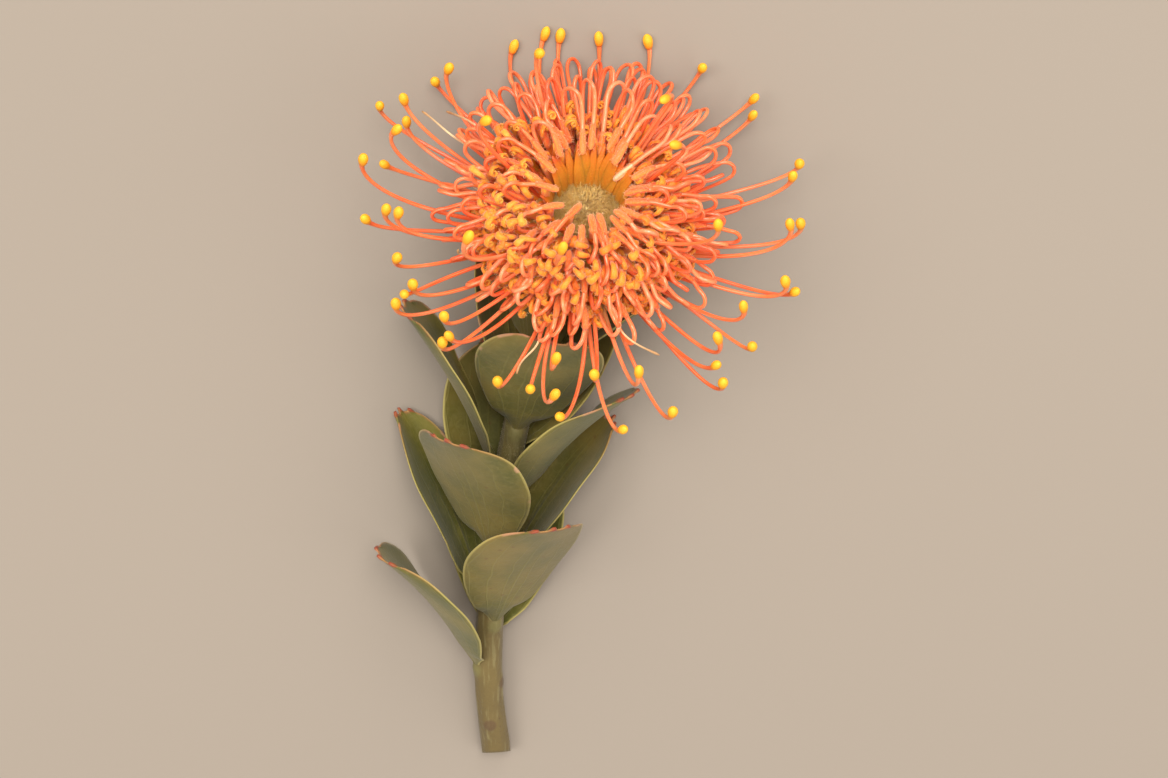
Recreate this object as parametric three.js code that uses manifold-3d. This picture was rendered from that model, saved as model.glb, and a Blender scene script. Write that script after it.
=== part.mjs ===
// A pincushion protea, cut with a short leafy stem and lying on a table.
// Millimetres. +Z is up, +Y runs from the cut end of the stem to the flower head.

import * as THREE from 'three';
import { mergeVertices } from 'three/addons/utils/BufferGeometryUtils.js';
import Module from 'manifold-3d';

// Stem: points of its centreline, from the cut end to where it starts to bend up
const STEM_LINE = [
  [-18, -160, 4.4],
  [-20, -132, 7.4],
  [-18, -98, 9.8],
  [-13, -60, 12.2],
  [-5, -26, 14.2],
];
const STEM_RADIUS_AT_CUT = 4.3;
const STEM_RADIUS_AT_TOP = 3.5;
const STEM_SIDES = 9;
const STEM_STEPS = 22;
const CUT_SLANT = 0.6;

// Flower head: its base, and how its axis stands above the table and turns to the right
const HEAD_BASE = new THREE.Vector3(8, 12, 24.6);
const HEAD_RISE = THREE.MathUtils.degToRad(46);
const HEAD_TURN = THREE.MathUtils.degToRad(6);
const PEDUNCLE_RADIUS = 5.2;
const SEAT_GAP = 0.3;

// Dome that the bends of the unsprung styles lie on, as an ellipse of revolution
const DOME_RADIUS = 41;
const DOME_HEIGHT = 30;
const DOME_CENTRE = 9.5;
const DOME_FIRST_ANGLE = THREE.MathUtils.degToRad(28);
const DOME_LAST_ANGLE = THREE.MathUtils.degToRad(87);

// Unsprung florets
const LOOP_COUNT = 45;
const LOOP_BEND_WIDTH = 2.7;
const LOOP_BEND_DEPTH = 3.6;
const LOOP_SPREAD = 1.3;
const LOOP_STEPS = 12;
const STYLE_RADIUS = 0.78;
const LIMB_LENGTH = 5.5;
const PERIANTH_RADIUS = 1.25;
const LIMB_RADIUS = 1.55;

// Sprung florets: a ring round the foot of the dome, and a few that stand among the loops
const RING_COUNT = 29;
const INNER_COUNT = 7;
const SPRUNG_LENGTH = 57;
const SPRUNG_STEPS = 10;
const KNOB_RADIUS = 1.35;
const KNOB_LENGTH = 3.4;
const GOLDEN_ANGLE = THREE.MathUtils.degToRad(137.508);

// Bracts round the peduncle
const BRACT_ROWS = 4;
const BRACTS_A_ROW = 5;
const BRACT_LENGTH = 6.5;

// Leaves, counted from the cut end
const LEAF_COUNT = 15;
const FIRST_LEAF_AT = 0.185;
const LAST_LEAF_AT = 0.805;
const LEAF_LENGTH = 57;
const LEAF_HALF_WIDTH = 17.5;
const LEAF_THICKNESS = 0.9;
const LEAF_ROWS = 7;
const LEAF_COLUMNS = 6;
const LEAF_FIRST_TURN = THREE.MathUtils.degToRad(150);
const LEAF_BASE_GAP = 0.35;
const PRESSED_SLACK = 2.5;

// Materials
const finish = (name, colour, roughness) => new THREE.MeshStandardMaterial({
  name,
  color: new THREE.Color(colour),
  roughness,
  metalness: 0,
});
const STEM_FINISH = finish('green bark', '#7d7a4e', 0.8);
const HEAD_FINISH = finish('coral styles', '#ee6f45', 0.5);
const LEAF_FINISH = finish('grey-green leaf', '#66704a', 0.65);

const wasm = await Module();
wasm.setup();

// A repeatable draw from 0 to 1 for item number i and trait number k
function draw(i, k) {
  const wave = Math.sin(i * 127.1 + k * 311.7) * 43758.5453;
  return wave - Math.floor(wave);
}

function mix(a, b, share) {
  return a + (b - a) * share;
}

// A closed geometry as a solid that can be joined
function solidOf(geometry) {
  const plain = geometry.clone();
  plain.deleteAttribute('normal');
  plain.deleteAttribute('uv');
  const merged = mergeVertices(plain, 1e-4);
  return new wasm.Manifold(new wasm.Mesh({
    numProp: 3,
    vertProperties: new Float32Array(merged.attributes.position.array),
    triVerts: new Uint32Array(merged.index.array),
  }));
}

// The largest body of many joined solids: pockets that the joining seals are filled
function joined(solids) {
  let level = solids;
  while (level.length > 1) {
    const next = [];
    for (let i = 0; i < level.length; i += 2) {
      next.push(i + 1 < level.length ? level[i].add(level[i + 1]) : level[i]);
    }
    level = next;
  }
  const bodies = level[0].decompose();
  bodies.sort((a, b) => b.volume() - a.volume());
  return bodies[0];
}

function geometryOf(solid) {
  const mesh = solid.getMesh();
  const geometry = new THREE.BufferGeometry();
  geometry.setAttribute('position', new THREE.BufferAttribute(new Float32Array(mesh.vertProperties), 3));
  geometry.setIndex(new THREE.BufferAttribute(new Uint32Array(mesh.triVerts), 1));
  geometry.computeVertexNormals();
  return geometry;
}

// Directions along a line of points: tangents, and sideways axes carried without twist
function axesAlong(line, firstSide) {
  const last = line.length - 1;
  const axes = [];
  let side = firstSide.clone();
  for (let i = 0; i <= last; i += 1) {
    const along = line[Math.min(i + 1, last)].clone().sub(line[Math.max(i - 1, 0)]).normalize();
    side = side.clone().addScaledVector(along, -side.dot(along)).normalize();
    axes.push({ along, side, third: along.clone().cross(side) });
  }
  return axes;
}

// A closed bar: the rings of a cylinder carried to a line's points, each with its own two radii
function bar(line, radii, sides, firstSide) {
  const steps = line.length - 1;
  const geometry = new THREE.CylinderGeometry(1, 1, 1, sides, steps);
  const axes = axesAlong(line, firstSide);
  const position = geometry.attributes.position;
  for (let i = 0; i < position.count; i += 1) {
    const ring = Math.round((0.5 - position.getY(i)) * steps);
    const [wide, thick] = Array.isArray(radii[ring]) ? radii[ring] : [radii[ring], radii[ring]];
    const point = line[ring].clone()
      .addScaledVector(axes[ring].side, position.getX(i) * wide)
      .addScaledVector(axes[ring].third, position.getZ(i) * thick);
    position.setXYZ(i, point.x, point.y, point.z);
  }
  return geometry;
}

// The head's own axes: out along its middle, to its right, and down towards the table
const HEAD_AXIS = new THREE.Vector3(
  Math.cos(HEAD_RISE) * Math.sin(HEAD_TURN),
  Math.cos(HEAD_RISE) * Math.cos(HEAD_TURN),
  Math.sin(HEAD_RISE),
);
const HEAD_RIGHT = new THREE.Vector3(HEAD_AXIS.y, -HEAD_AXIS.x, 0).normalize();
const HEAD_DOWN = HEAD_AXIS.clone().cross(HEAD_RIGHT);

function outwards(turn) {
  return HEAD_RIGHT.clone().multiplyScalar(Math.cos(turn)).addScaledVector(HEAD_DOWN, Math.sin(turn));
}

function sideways(turn) {
  return HEAD_DOWN.clone().multiplyScalar(Math.cos(turn)).addScaledVector(HEAD_RIGHT, -Math.sin(turn));
}

// Styles that reach the table are bent along it: heights level off smoothly at a style's radius
const STYLE_REST = 0.75;
const STYLE_REST_SOFTNESS = 1.1;
function restStyle(point) {
  const over = (point.z - STYLE_REST) / STYLE_REST_SOFTNESS;
  point.z = STYLE_REST + STYLE_REST_SOFTNESS * Math.log1p(Math.exp(over));
  return point;
}

// A point of the head from its radius, its height on the axis, its turn and a sideways offset
function headPoint(radius, height, turn, aside = 0) {
  return restStyle(HEAD_BASE.clone()
    .addScaledVector(HEAD_AXIS, height)
    .addScaledVector(outwards(turn), radius)
    .addScaledVector(sideways(turn), aside));
}

// Stem centreline: the lying part, then a bend up into the head's axis
const stemCurve = new THREE.CatmullRomCurve3([
  ...STEM_LINE.map((point) => new THREE.Vector3(...point)),
  HEAD_BASE.clone().addScaledVector(HEAD_AXIS, -15).add(new THREE.Vector3(0, 0, 1.2)),
  HEAD_BASE.clone().addScaledVector(HEAD_AXIS, -6),
  HEAD_BASE.clone(),
], false, 'centripetal');

function stemRadius(share) {
  const taper = mix(STEM_RADIUS_AT_CUT, STEM_RADIUS_AT_TOP, Math.min(1, share / 0.85));
  const flare = THREE.MathUtils.smoothstep(share, 0.88, 1);
  return mix(taper, PEDUNCLE_RADIUS, flare);
}

// The stem with its slanted cut and the bracts that grow from its top
function stemSolid() {
  const line = Array.from({ length: STEM_STEPS + 1 }, (_, i) => stemCurve.getPointAt(i / STEM_STEPS));
  const radii = line.map((_, i) => stemRadius(i / STEM_STEPS));
  const shoot = bar(line, radii, STEM_SIDES, new THREE.Vector3(1, 0, 0));
  const position = shoot.attributes.position;
  const cutPlaneReach = line[0].y + STEM_RADIUS_AT_CUT;
  for (let i = 0; i < position.count; i += 1) {
    if (position.getY(i) < cutPlaneReach) {
      position.setY(i, position.getY(i) + (position.getZ(i) - line[0].z) * CUT_SLANT);
    }
  }
  const length = stemCurve.getLength();
  const solids = [solidOf(shoot)];
  for (let row = 0; row < BRACT_ROWS; row += 1) {
    for (let place = 0; place < BRACTS_A_ROW; place += 1) {
      const turn = ((place + (row % 2) * 0.5) / BRACTS_A_ROW) * 2 * Math.PI;
      const share = 1 - (3.2 + (BRACT_ROWS - 1 - row) * 3) / length;
      solids.push(solidOf(bractBar(share, turn, length)));
    }
  }
  return joined(solids);
}

function stemAxes(share) {
  const along = stemCurve.getTangentAt(share).normalize();
  const right = new THREE.Vector3(along.y, -along.x, 0).normalize();
  const up = right.clone().cross(along);
  return { along, right, up };
}

// One bract: a small pointed scale, rooted in the peduncle and lying up along it
function bractBar(share, turn, length) {
  const { along, right, up } = stemAxes(share);
  const out = right.clone().multiplyScalar(Math.cos(turn)).addScaledVector(up, Math.sin(turn));
  const across = along.clone().cross(out);
  const foot = stemCurve.getPointAt(share - 0.5 * BRACT_LENGTH / length);
  const radius = stemRadius(share);
  const line = [[-0.3, -1], [0.4, 0.5], [1, 0.7]].map(([reach, lift]) => foot.clone()
    .addScaledVector(along, reach * BRACT_LENGTH)
    .addScaledVector(out, radius + lift));
  return bar(line, [[1.8, 0.8], [2.3, 0.9], [0.5, 0.5]], 3, across);
}

// The receptacle that the florets grow from, as rings of radius and height
function receptacle() {
  const profile = [
    [0, SEAT_GAP], [PEDUNCLE_RADIUS, SEAT_GAP], [12, 1.5], [16.5, 5.5], [17, 11],
    [14.5, 18], [10.5, 23.5], [6.5, 24.5], [0, 22.5],
  ];
  const lathe = new THREE.LatheGeometry(profile.map(([r, h]) => new THREE.Vector2(r, h)), 14);
  const toHead = new THREE.Matrix4().makeBasis(HEAD_RIGHT, HEAD_AXIS, HEAD_RIGHT.clone().cross(HEAD_AXIS));
  lathe.applyMatrix4(toHead.setPosition(HEAD_BASE));
  return lathe;
}

// Where floret number i of the unsprung ones stands: share 0 at the centre, 1 at the foot
function floret(i) {
  const share = ((i + 0.5) / LOOP_COUNT) ** 0.85;
  const angle = mix(DOME_FIRST_ANGLE, DOME_LAST_ANGLE, share) + (draw(i, 1) - 0.5) * 0.1;
  const size = 1 + (draw(i, 2) - 0.5) * 0.1;
  const bend = {
    r: DOME_RADIUS * Math.sin(angle) * size,
    h: DOME_CENTRE + DOME_HEIGHT * Math.cos(angle) * size,
  };
  return {
    turn: i * GOLDEN_ANGLE + (draw(i, 3) - 0.5) * 0.12,
    root: { r: 6 + 4.5 * share, h: 20 - 17 * share },
    limb: { r: 7.5 + 20 * share ** 1.1, h: 32.5 - 13 * share ** 1.5 },
    bend,
    out: { r: Math.sin(angle), h: Math.cos(angle) },
    spread: LOOP_SPREAD * (0.7 + 0.6 * draw(i, 4)) * (draw(i, 5) < 0.5 ? -1 : 1),
  };
}

// The loop of one unsprung style in the floret's own plane: limb, over the bend, back to the root
function loopCurve({ turn, root, limb, bend, out, spread }) {
  const back = { r: bend.r - LOOP_BEND_DEPTH * out.r, h: bend.h - LOOP_BEND_DEPTH * out.h };
  const upper = { r: back.r - LOOP_BEND_WIDTH * out.h, h: back.h + LOOP_BEND_WIDTH * out.r };
  const lower = { r: back.r + LOOP_BEND_WIDTH * out.h, h: back.h - LOOP_BEND_WIDTH * out.r };
  const points = [
    headPoint(limb.r, limb.h, turn),
    headPoint(mix(limb.r, upper.r, 0.5) + 1.2 * out.r, mix(limb.h, upper.h, 0.5) + 1.4, turn, spread * 0.6),
    headPoint(upper.r, upper.h, turn, spread),
    headPoint(bend.r, bend.h, turn, 0),
    headPoint(lower.r, lower.h, turn, -spread),
    headPoint(mix(lower.r, root.r, 0.45), mix(lower.h, root.h, 0.45) - 1, turn, -spread),
    headPoint(root.r, root.h, turn, -spread * 1.6),
  ];
  return new THREE.CatmullRomCurve3(points, false, 'centripetal');
}

// The style with the blunt limb that holds its tip: the first rings of the bar are the limb
function loopBar(place) {
  const curve = loopCurve(place);
  const length = curve.getLength();
  const stops = [0, 0.3, 0.8, 1.1].map((share) => (share * LIMB_LENGTH) / length);
  for (let k = 1; k <= LOOP_STEPS - 3; k += 1) {
    stops.push(mix(stops[3], 1, k / (LOOP_STEPS - 3)));
  }
  const line = stops.map((share) => curve.getPointAt(share));
  const limb = [LIMB_RADIUS * 0.6, LIMB_RADIUS, LIMB_RADIUS * 0.9];
  return bar(line, line.map((_, k) => limb[k] ?? STYLE_RADIUS), 3, sideways(place.turn));
}

// The downy perianth tube of one unsprung floret, from the receptacle up into the limb
function perianthBar({ turn, root, limb, bend, spread }) {
  const share = (0.6 * LIMB_LENGTH) / Math.hypot(bend.r - limb.r, bend.h - limb.h);
  const knee = { r: mix(limb.r, bend.r, share), h: mix(limb.h, bend.h, share) + 0.8 };
  const line = [
    headPoint(root.r, root.h, turn, spread * 1.2),
    headPoint(mix(root.r, knee.r, 0.7), mix(root.h, knee.h, 0.6), turn, spread),
    headPoint(knee.r, knee.h, turn, spread * 0.3),
  ];
  return bar(line, [PERIANTH_RADIUS, PERIANTH_RADIUS * 1.1, PERIANTH_RADIUS * 0.7], 3, sideways(turn));
}

// Traits of sprung style number i: the ring first, then the few inner ones. Ring styles on the
// table's side all lean back, so that the head rests on several of them.
function sprung(i) {
  const inner = i >= RING_COUNT;
  const place = inner ? i - RING_COUNT : i;
  const count = inner ? INNER_COUNT : RING_COUNT;
  const turn = ((place + (draw(i, 11) - 0.5) * 0.9) / count) * 2 * Math.PI;
  const mostForward = mix(20, -6, Math.max(0, Math.sin(turn)));
  return {
    turn,
    root: inner ? { r: 7.5, h: 12 } : { r: 8.5, h: 3 + 4.5 * draw(i, 12) },
    first: THREE.MathUtils.degToRad(inner ? mix(36, 60, draw(i, 13)) : mix(-12, mostForward, draw(i, 13))),
    rise: THREE.MathUtils.degToRad(inner ? 4 : mix(14, 26, draw(i, 14))),
    curl: THREE.MathUtils.degToRad(mix(55, 115, draw(i, 15))),
    sway: mix(-0.16, 0.16, draw(i, 16)),
    length: SPRUNG_LENGTH * (inner ? mix(0.8, 0.95, draw(i, 17)) : mix(0.9, 1.1, draw(i, 17))),
  };
}

// A sprung style runs straight out, rises slowly and hooks in at its tip:
// its direction turns by rise along the whole length and by curl over the last part
function sprungLine(traits, steps) {
  const fine = 40;
  const points = [];
  let { r, h } = traits.root;
  for (let k = 0; k <= fine; k += 1) {
    const share = k / fine;
    points.push(headPoint(r, h, traits.turn + traits.sway * share ** 2));
    const angle = traits.first + traits.rise * share + traits.curl * share ** 7;
    r += (traits.length / fine) * Math.cos(angle);
    h += (traits.length / fine) * Math.sin(angle);
  }
  return new THREE.CatmullRomCurve3(points, false, 'centripetal').getSpacedPoints(steps);
}

// A sprung style with its pollen presenter, a knob that stands on the tip
function sprungBars(traits) {
  const line = sprungLine(traits, SPRUNG_STEPS);
  const tip = line[line.length - 1];
  const pointing = tip.clone().sub(line[line.length - 2]).normalize();
  line[0].addScaledVector(outwards(traits.turn), -2.5);
  const style = bar(line, line.map(() => STYLE_RADIUS), 3, sideways(traits.turn));
  const knob = new THREE.OctahedronGeometry(1, 0);
  knob.scale(KNOB_RADIUS * 1.15, KNOB_LENGTH / 2 + 0.4, KNOB_RADIUS * 1.15);
  knob.applyQuaternion(new THREE.Quaternion().setFromUnitVectors(new THREE.Vector3(0, 1, 0), pointing));
  const centre = tip.clone().addScaledVector(pointing, 0.4);
  centre.z = Math.max(centre.z, KNOB_RADIUS * 1.15 + 0.05);
  knob.translate(centre.x, centre.y, centre.z);
  return [style, knob];
}

// The opened perianth at the foot of a sprung style: a short tube with a swollen, rolled-back mouth
function openedPerianth(traits) {
  const { turn, root } = traits;
  const reach = 15;
  const line = [0, 0.75, 1].map((share) => headPoint(
    root.r - 2 + reach * share * Math.cos(traits.first),
    root.h + 1 + reach * share * Math.sin(traits.first) + 2 * share,
    turn,
    1.2 + 1.6 * share,
  ));
  return bar(line, [1, 1.9, 1.1], 3, sideways(turn));
}

// The whole flower head as one body
function headSolid() {
  const solids = [solidOf(receptacle())];
  for (let i = 0; i < LOOP_COUNT; i += 1) {
    const place = floret(i);
    solids.push(solidOf(perianthBar(place)), solidOf(loopBar(place)));
  }
  for (let i = 0; i < RING_COUNT + INNER_COUNT; i += 1) {
    const traits = sprung(i);
    solids.push(...sprungBars(traits).map(solidOf));
    if (i < RING_COUNT) {
      solids.push(solidOf(openedPerianth(traits)));
    }
  }
  return joined(solids);
}

// Height of the stem's centreline over the table, at a place along Y
const stemSamples = stemCurve.getSpacedPoints(200);
function stemHeight(y) {
  const next = stemSamples.findIndex((point) => point.y >= y);
  if (next < 1) {
    return next === 0 ? stemSamples[0].z : stemSamples[stemSamples.length - 1].z;
  }
  const before = stemSamples[next - 1];
  return mix(before.z, stemSamples[next].z, (y - before.y) / (stemSamples[next].y - before.y));
}

// Leaves below the stem are pressed together between it and the table. Each has its own lowest
// height, because the first lie flat on the table and the next ones lie on them.
const LEAF_LIFTS = [0, 0, 0, 1.5, 1.1, 0, 0.6, 0, 3.6, 1.3, 0, 3.2, 5.3, 0, 4.6];
function restLeaf(point, lift) {
  const floor = LEAF_THICKNESS / 2 + lift;
  const top = Math.max(stemHeight(point.y) - STEM_RADIUS_AT_CUT, floor);
  const below = top - point.z;
  if (below > 0) {
    const room = top - floor + PRESSED_SLACK;
    point.z = top - room * (1 - Math.exp(-below / room));
  }
  point.z = Math.max(point.z, floor);
  return point;
}

// Traits of leaf number i: where it stands, how far it opens, and its size
function leafTraits(i) {
  const up = i / (LEAF_COUNT - 1);
  const turn = LEAF_FIRST_TURN + i * GOLDEN_ANGLE;
  const downwards = Math.max(0, -Math.sin(turn));
  const upper = THREE.MathUtils.smoothstep(up, 0.62, 1);
  return {
    lift: LEAF_LIFTS[i],
    at: mix(FIRST_LEAF_AT, LAST_LEAF_AT, up),
    turn,
    first: THREE.MathUtils.degToRad(mix(24, 16, downwards)),
    last: THREE.MathUtils.degToRad(mix(44, 26, downwards) + 9 * upper),
    length: LEAF_LENGTH * (0.95 + 0.1 * draw(i, 21)) * mix(1, 0.64, upper),
    half: LEAF_HALF_WIDTH * (0.94 + 0.12 * draw(i, 22)) * mix(1, 0.74, upper),
    wave: draw(i, 23) * 2 * Math.PI,
  };
}

// Half width of a leaf at a share of its length: narrow foot, widest past the middle, blunt end
function leafWidth(share) {
  const widest = 0.58;
  if (share < widest) {
    return 0.2 + 0.8 * Math.sin((Math.PI / 2) * (share / widest)) ** 0.9;
  }
  return 1 - 0.56 * ((share - widest) / (1 - widest)) ** 2.4;
}

// The blunt end is cut into three teeth: how far each column reaches past or short of the end
const LEAF_TEETH = [-0.035, -0.005, -0.05, 0.03, -0.05, -0.005, -0.035];

// A point of a leaf's middle surface: an arc that opens away from the stem, cupped towards it
function leafPoint(traits, row, column) {
  const { along, right, up } = stemAxes(traits.at);
  const out = right.clone().multiplyScalar(Math.cos(traits.turn)).addScaledVector(up, Math.sin(traits.turn));
  const across = along.clone().cross(out);
  const side = (2 * column) / LEAF_COLUMNS - 1;
  const plain = row / LEAF_ROWS;
  const share = plain + LEAF_TEETH[column] * plain ** 5;
  const opening = traits.last - traits.first;
  const angle = traits.first + opening * share;
  const forward = (traits.length / opening) * (Math.sin(angle) - Math.sin(traits.first));
  const away = (traits.length / opening) * (Math.cos(traits.first) - Math.cos(angle));
  const half = traits.half * leafWidth(plain);
  const cup = half * side ** 2 * 0.24 + Math.sin(traits.wave + share * 7) * 0.7 * side ** 2 * share;
  return restLeaf(stemCurve.getPointAt(traits.at)
    .addScaledVector(out, stemRadius(traits.at) + LEAF_BASE_GAP + LEAF_THICKNESS / 2)
    .addScaledVector(along, forward + cup * Math.sin(angle))
    .addScaledVector(out, away - cup * Math.cos(angle) * Math.min(1, plain * 3))
    .addScaledVector(across, half * side), traits.lift);
}

// A leaf: the middle surface thickened both ways, with like triangles on both faces and a rim
function leafGeometry(traits) {
  const rows = LEAF_ROWS + 1;
  const columns = LEAF_COLUMNS + 1;
  const middle = [];
  for (let row = 0; row < rows; row += 1) {
    for (let column = 0; column < columns; column += 1) {
      middle.push(leafPoint(traits, row, column));
    }
  }
  const at = (row, column) => row * columns + column;
  const facing = middle.map((_, i) => {
    const row = Math.floor(i / columns);
    const column = i % columns;
    const lengthwise = middle[at(Math.min(row + 1, rows - 1), column)].clone()
      .sub(middle[at(Math.max(row - 1, 0), column)]);
    const crosswise = middle[at(row, Math.min(column + 1, columns - 1))].clone()
      .sub(middle[at(row, Math.max(column - 1, 0))]);
    return lengthwise.cross(crosswise).normalize();
  });
  const points = [];
  for (const side of [0.5, -0.5]) {
    middle.forEach((point, i) => {
      const moved = point.clone().addScaledVector(facing[i], side * LEAF_THICKNESS);
      points.push(moved.x, moved.y, Math.max(moved.z, 0));
    });
  }
  const other = middle.length;
  const faces = [];
  for (let row = 0; row < LEAF_ROWS; row += 1) {
    for (let column = 0; column < LEAF_COLUMNS; column += 1) {
      const a = at(row, column);
      const b = at(row + 1, column);
      const c = at(row + 1, column + 1);
      const d = at(row, column + 1);
      faces.push(a, b, d, b, c, d);
      faces.push(a + other, d + other, b + other, b + other, d + other, c + other);
    }
  }
  const rim = [];
  for (let column = 0; column < LEAF_COLUMNS; column += 1) {
    rim.push(at(0, column));
  }
  for (let row = 0; row < LEAF_ROWS; row += 1) {
    rim.push(at(row, LEAF_COLUMNS));
  }
  for (let column = LEAF_COLUMNS; column > 0; column -= 1) {
    rim.push(at(LEAF_ROWS, column));
  }
  for (let row = LEAF_ROWS; row > 0; row -= 1) {
    rim.push(at(row, 0));
  }
  rim.forEach((from, i) => {
    const to = rim[(i + 1) % rim.length];
    faces.push(from, to, from + other, to, to + other, from + other);
  });
  const geometry = new THREE.BufferGeometry();
  geometry.setAttribute('position', new THREE.BufferAttribute(new Float32Array(points), 3));
  geometry.setIndex(faces);
  geometry.computeVertexNormals();
  return geometry;
}

function piece(name, geometry, material) {
  const mesh = new THREE.Mesh(geometry, material.clone());
  mesh.name = name;
  return mesh;
}

// The whole sprig, with its origin on the table below the middle of its box
const sprig = new THREE.Group();
sprig.add(piece('stem', geometryOf(stemSolid()), STEM_FINISH));
sprig.add(piece('flower_head', geometryOf(headSolid()), HEAD_FINISH));
for (let i = 0; i < LEAF_COUNT; i += 1) {
  const name = `leaf_${String(i + 1).padStart(2, '0')}`;
  sprig.add(piece(name, leafGeometry(leafTraits(i)), LEAF_FINISH));
}
const box = new THREE.Box3().setFromObject(sprig, true);
sprig.position.set(-(box.min.x + box.max.x) / 2, -(box.min.y + box.max.y) / 2, -box.min.z);
sprig.updateMatrixWorld(true);

export default sprig;
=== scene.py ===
import bpy
import numpy as np
from mathutils import Matrix, Vector


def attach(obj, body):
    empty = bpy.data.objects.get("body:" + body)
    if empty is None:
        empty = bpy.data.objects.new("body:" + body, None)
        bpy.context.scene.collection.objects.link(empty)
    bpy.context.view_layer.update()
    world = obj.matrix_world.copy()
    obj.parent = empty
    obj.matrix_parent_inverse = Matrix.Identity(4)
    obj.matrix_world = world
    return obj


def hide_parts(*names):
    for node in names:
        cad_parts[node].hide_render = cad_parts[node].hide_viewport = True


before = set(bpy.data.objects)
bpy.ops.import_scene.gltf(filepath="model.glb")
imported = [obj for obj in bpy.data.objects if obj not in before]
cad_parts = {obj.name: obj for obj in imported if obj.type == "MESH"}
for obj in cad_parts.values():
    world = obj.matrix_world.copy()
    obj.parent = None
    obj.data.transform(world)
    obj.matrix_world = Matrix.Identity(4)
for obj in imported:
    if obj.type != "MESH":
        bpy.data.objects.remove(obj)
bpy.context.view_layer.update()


# Stem
# One woody shoot, green-brown and finely downy, lying along the table and bending up into the
# flower head. It is cut on a slant at its lower end, and small cushions carry the leaves.

# lengths are millimetres in the sprig's own space, which this shift and scale take to the frame
TO_FRAME = np.array([-8.765, 45.409, 0.0])
METRES = 0.001
TABLE_GAP = 0.02
HEAD_BASE = np.array([8.0, 12.0, 24.6])
HEAD_RISE = np.radians(46)
HEAD_TURN = np.radians(6)
HEAD_LEVEL = np.cos(HEAD_RISE)
HEAD_AXIS = np.array([
    HEAD_LEVEL * np.sin(HEAD_TURN), HEAD_LEVEL * np.cos(HEAD_TURN), np.sin(HEAD_RISE),
])
CUT_MIDDLE = np.array([-18, -160, 4.4])
STEM_POINTS = np.array([
    CUT_MIDDLE, [-20, -132, 7.4], [-18, -98, 9.8], [-13, -60, 12.2], [-5, -26, 14.2],
    HEAD_BASE - 15 * HEAD_AXIS + [0, 0, 1.2], HEAD_BASE - 6 * HEAD_AXIS, HEAD_BASE,
])
STEM_RADIUS_AT_CUT = 4.3
STEM_RADIUS_AT_TOP = 3.5
PEDUNCLE_RADIUS = 5.2
CUT_SLANT = 0.6
GOLDEN_ANGLE = np.radians(137.508)
LEAF_COUNT = 15
FIRST_LEAF_TURN = np.radians(150)
SCAR_SHARES = np.array([0.035, 0.08, 0.125, 0.155])
CUSHION_HEIGHT = 0.75
SCAR_HEIGHT = 0.4
CUSHION_REACH = 2.6
SHOOT_RINGS = 190
SHOOT_SIDES = 44


def mix(a, b, share):
    return a + (b - a) * share


def draw(i, k, low=0.0, high=1.0):
    """A repeatable number from low to high for item i and trait k: the fraction of a large sine."""
    return mix(low, high, (np.sin(np.asarray(i) * 127.1 + k * 311.7) * 43758.5453) % 1.0)


def jitter(i, k, width):
    """A repeatable number as far as half the width below or above 0."""
    return width * (draw(i, k) - 0.5)


def smooth(x, low, high):
    """0 below low, 1 above high, and the cubic 3t2 - 2t3 between them."""
    t = np.clip((x - low) / (high - low), 0, 1)
    return t * t * (3 - 2 * t)


def unit(v):
    return v / np.maximum(np.linalg.norm(v, axis=-1, keepdims=True), 1e-9)


def smooth_lines(points, shares, fine=200):
    """Places on smooth lines through points, at shares of each line's length, and the lengths.

    Each span is a cubic whose end slopes follow the centripetal Catmull-Rom rule: the gap between
    two points counts as the square root of their distance. Lengths add up fine chords. points is
    (lines, points, 3), and shares is (lines, places) or one row for all lines.
    """
    before = 2 * points[:, :1] - points[:, 1:2]
    after = 2 * points[:, -1:] - points[:, -2:-1]
    padded = np.concatenate([before, points, after], 1)
    gaps = np.sum(np.diff(padded, axis=1) ** 2, -1) ** 0.25
    spans = points.shape[1] - 1
    row = np.arange(len(points))[:, None]

    def at(t):
        k = np.minimum(np.floor(t).astype(int), spans - 1)
        w = (t - k)[..., None]
        p0, p1, p2, p3 = (padded[row, k + j] for j in range(4))
        d0, d1, d2 = (gaps[row, k + j][..., None] for j in range(3))
        m1 = ((p1 - p0) / d0 - (p2 - p0) / (d0 + d1) + (p2 - p1) / d1) * d1
        m2 = ((p2 - p1) / d1 - (p3 - p1) / (d1 + d2) + (p3 - p2) / d2) * d1
        square = 3 * (p2 - p1) - 2 * m1 - m2
        cube = 2 * (p1 - p2) + m1 + m2
        return p1 + m1 * w + square * w ** 2 + cube * w ** 3

    steps = np.linspace(0, spans, fine + 1)
    chords = np.linalg.norm(np.diff(at(np.tile(steps, (len(points), 1))), axis=1), axis=-1)
    lengths = np.concatenate([np.zeros((len(points), 1)), np.cumsum(chords, 1)], 1)
    shares = np.broadcast_to(shares, (len(points), np.shape(shares)[-1]))
    places = np.stack([np.interp(s * l[-1], l, steps) for s, l in zip(shares, lengths)])
    return at(places), lengths[:, -1:]


def stem_place(share):
    """Points of the stem's middle line at shares of its length."""
    return smooth_lines(STEM_POINTS[None], np.atleast_1d(share))[0][0]


def stem_axes(share):
    """Along the stem, level to its right, and up, at shares of its length."""
    along = unit(stem_place(np.minimum(share + 1e-3, 1)) - stem_place(share - 1e-3))
    right = unit(np.stack([along[:, 1], -along[:, 0], 0 * along[:, 0]], -1))
    return along, right, np.cross(right, along)


def stem_radius(share):
    """An even taper to 0.85 of the length, then a smooth swelling into the peduncle."""
    taper = mix(STEM_RADIUS_AT_CUT, STEM_RADIUS_AT_TOP, np.minimum(1, share / 0.85))
    return mix(taper, PEDUNCLE_RADIUS, smooth(share, 0.88, 1))


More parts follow.
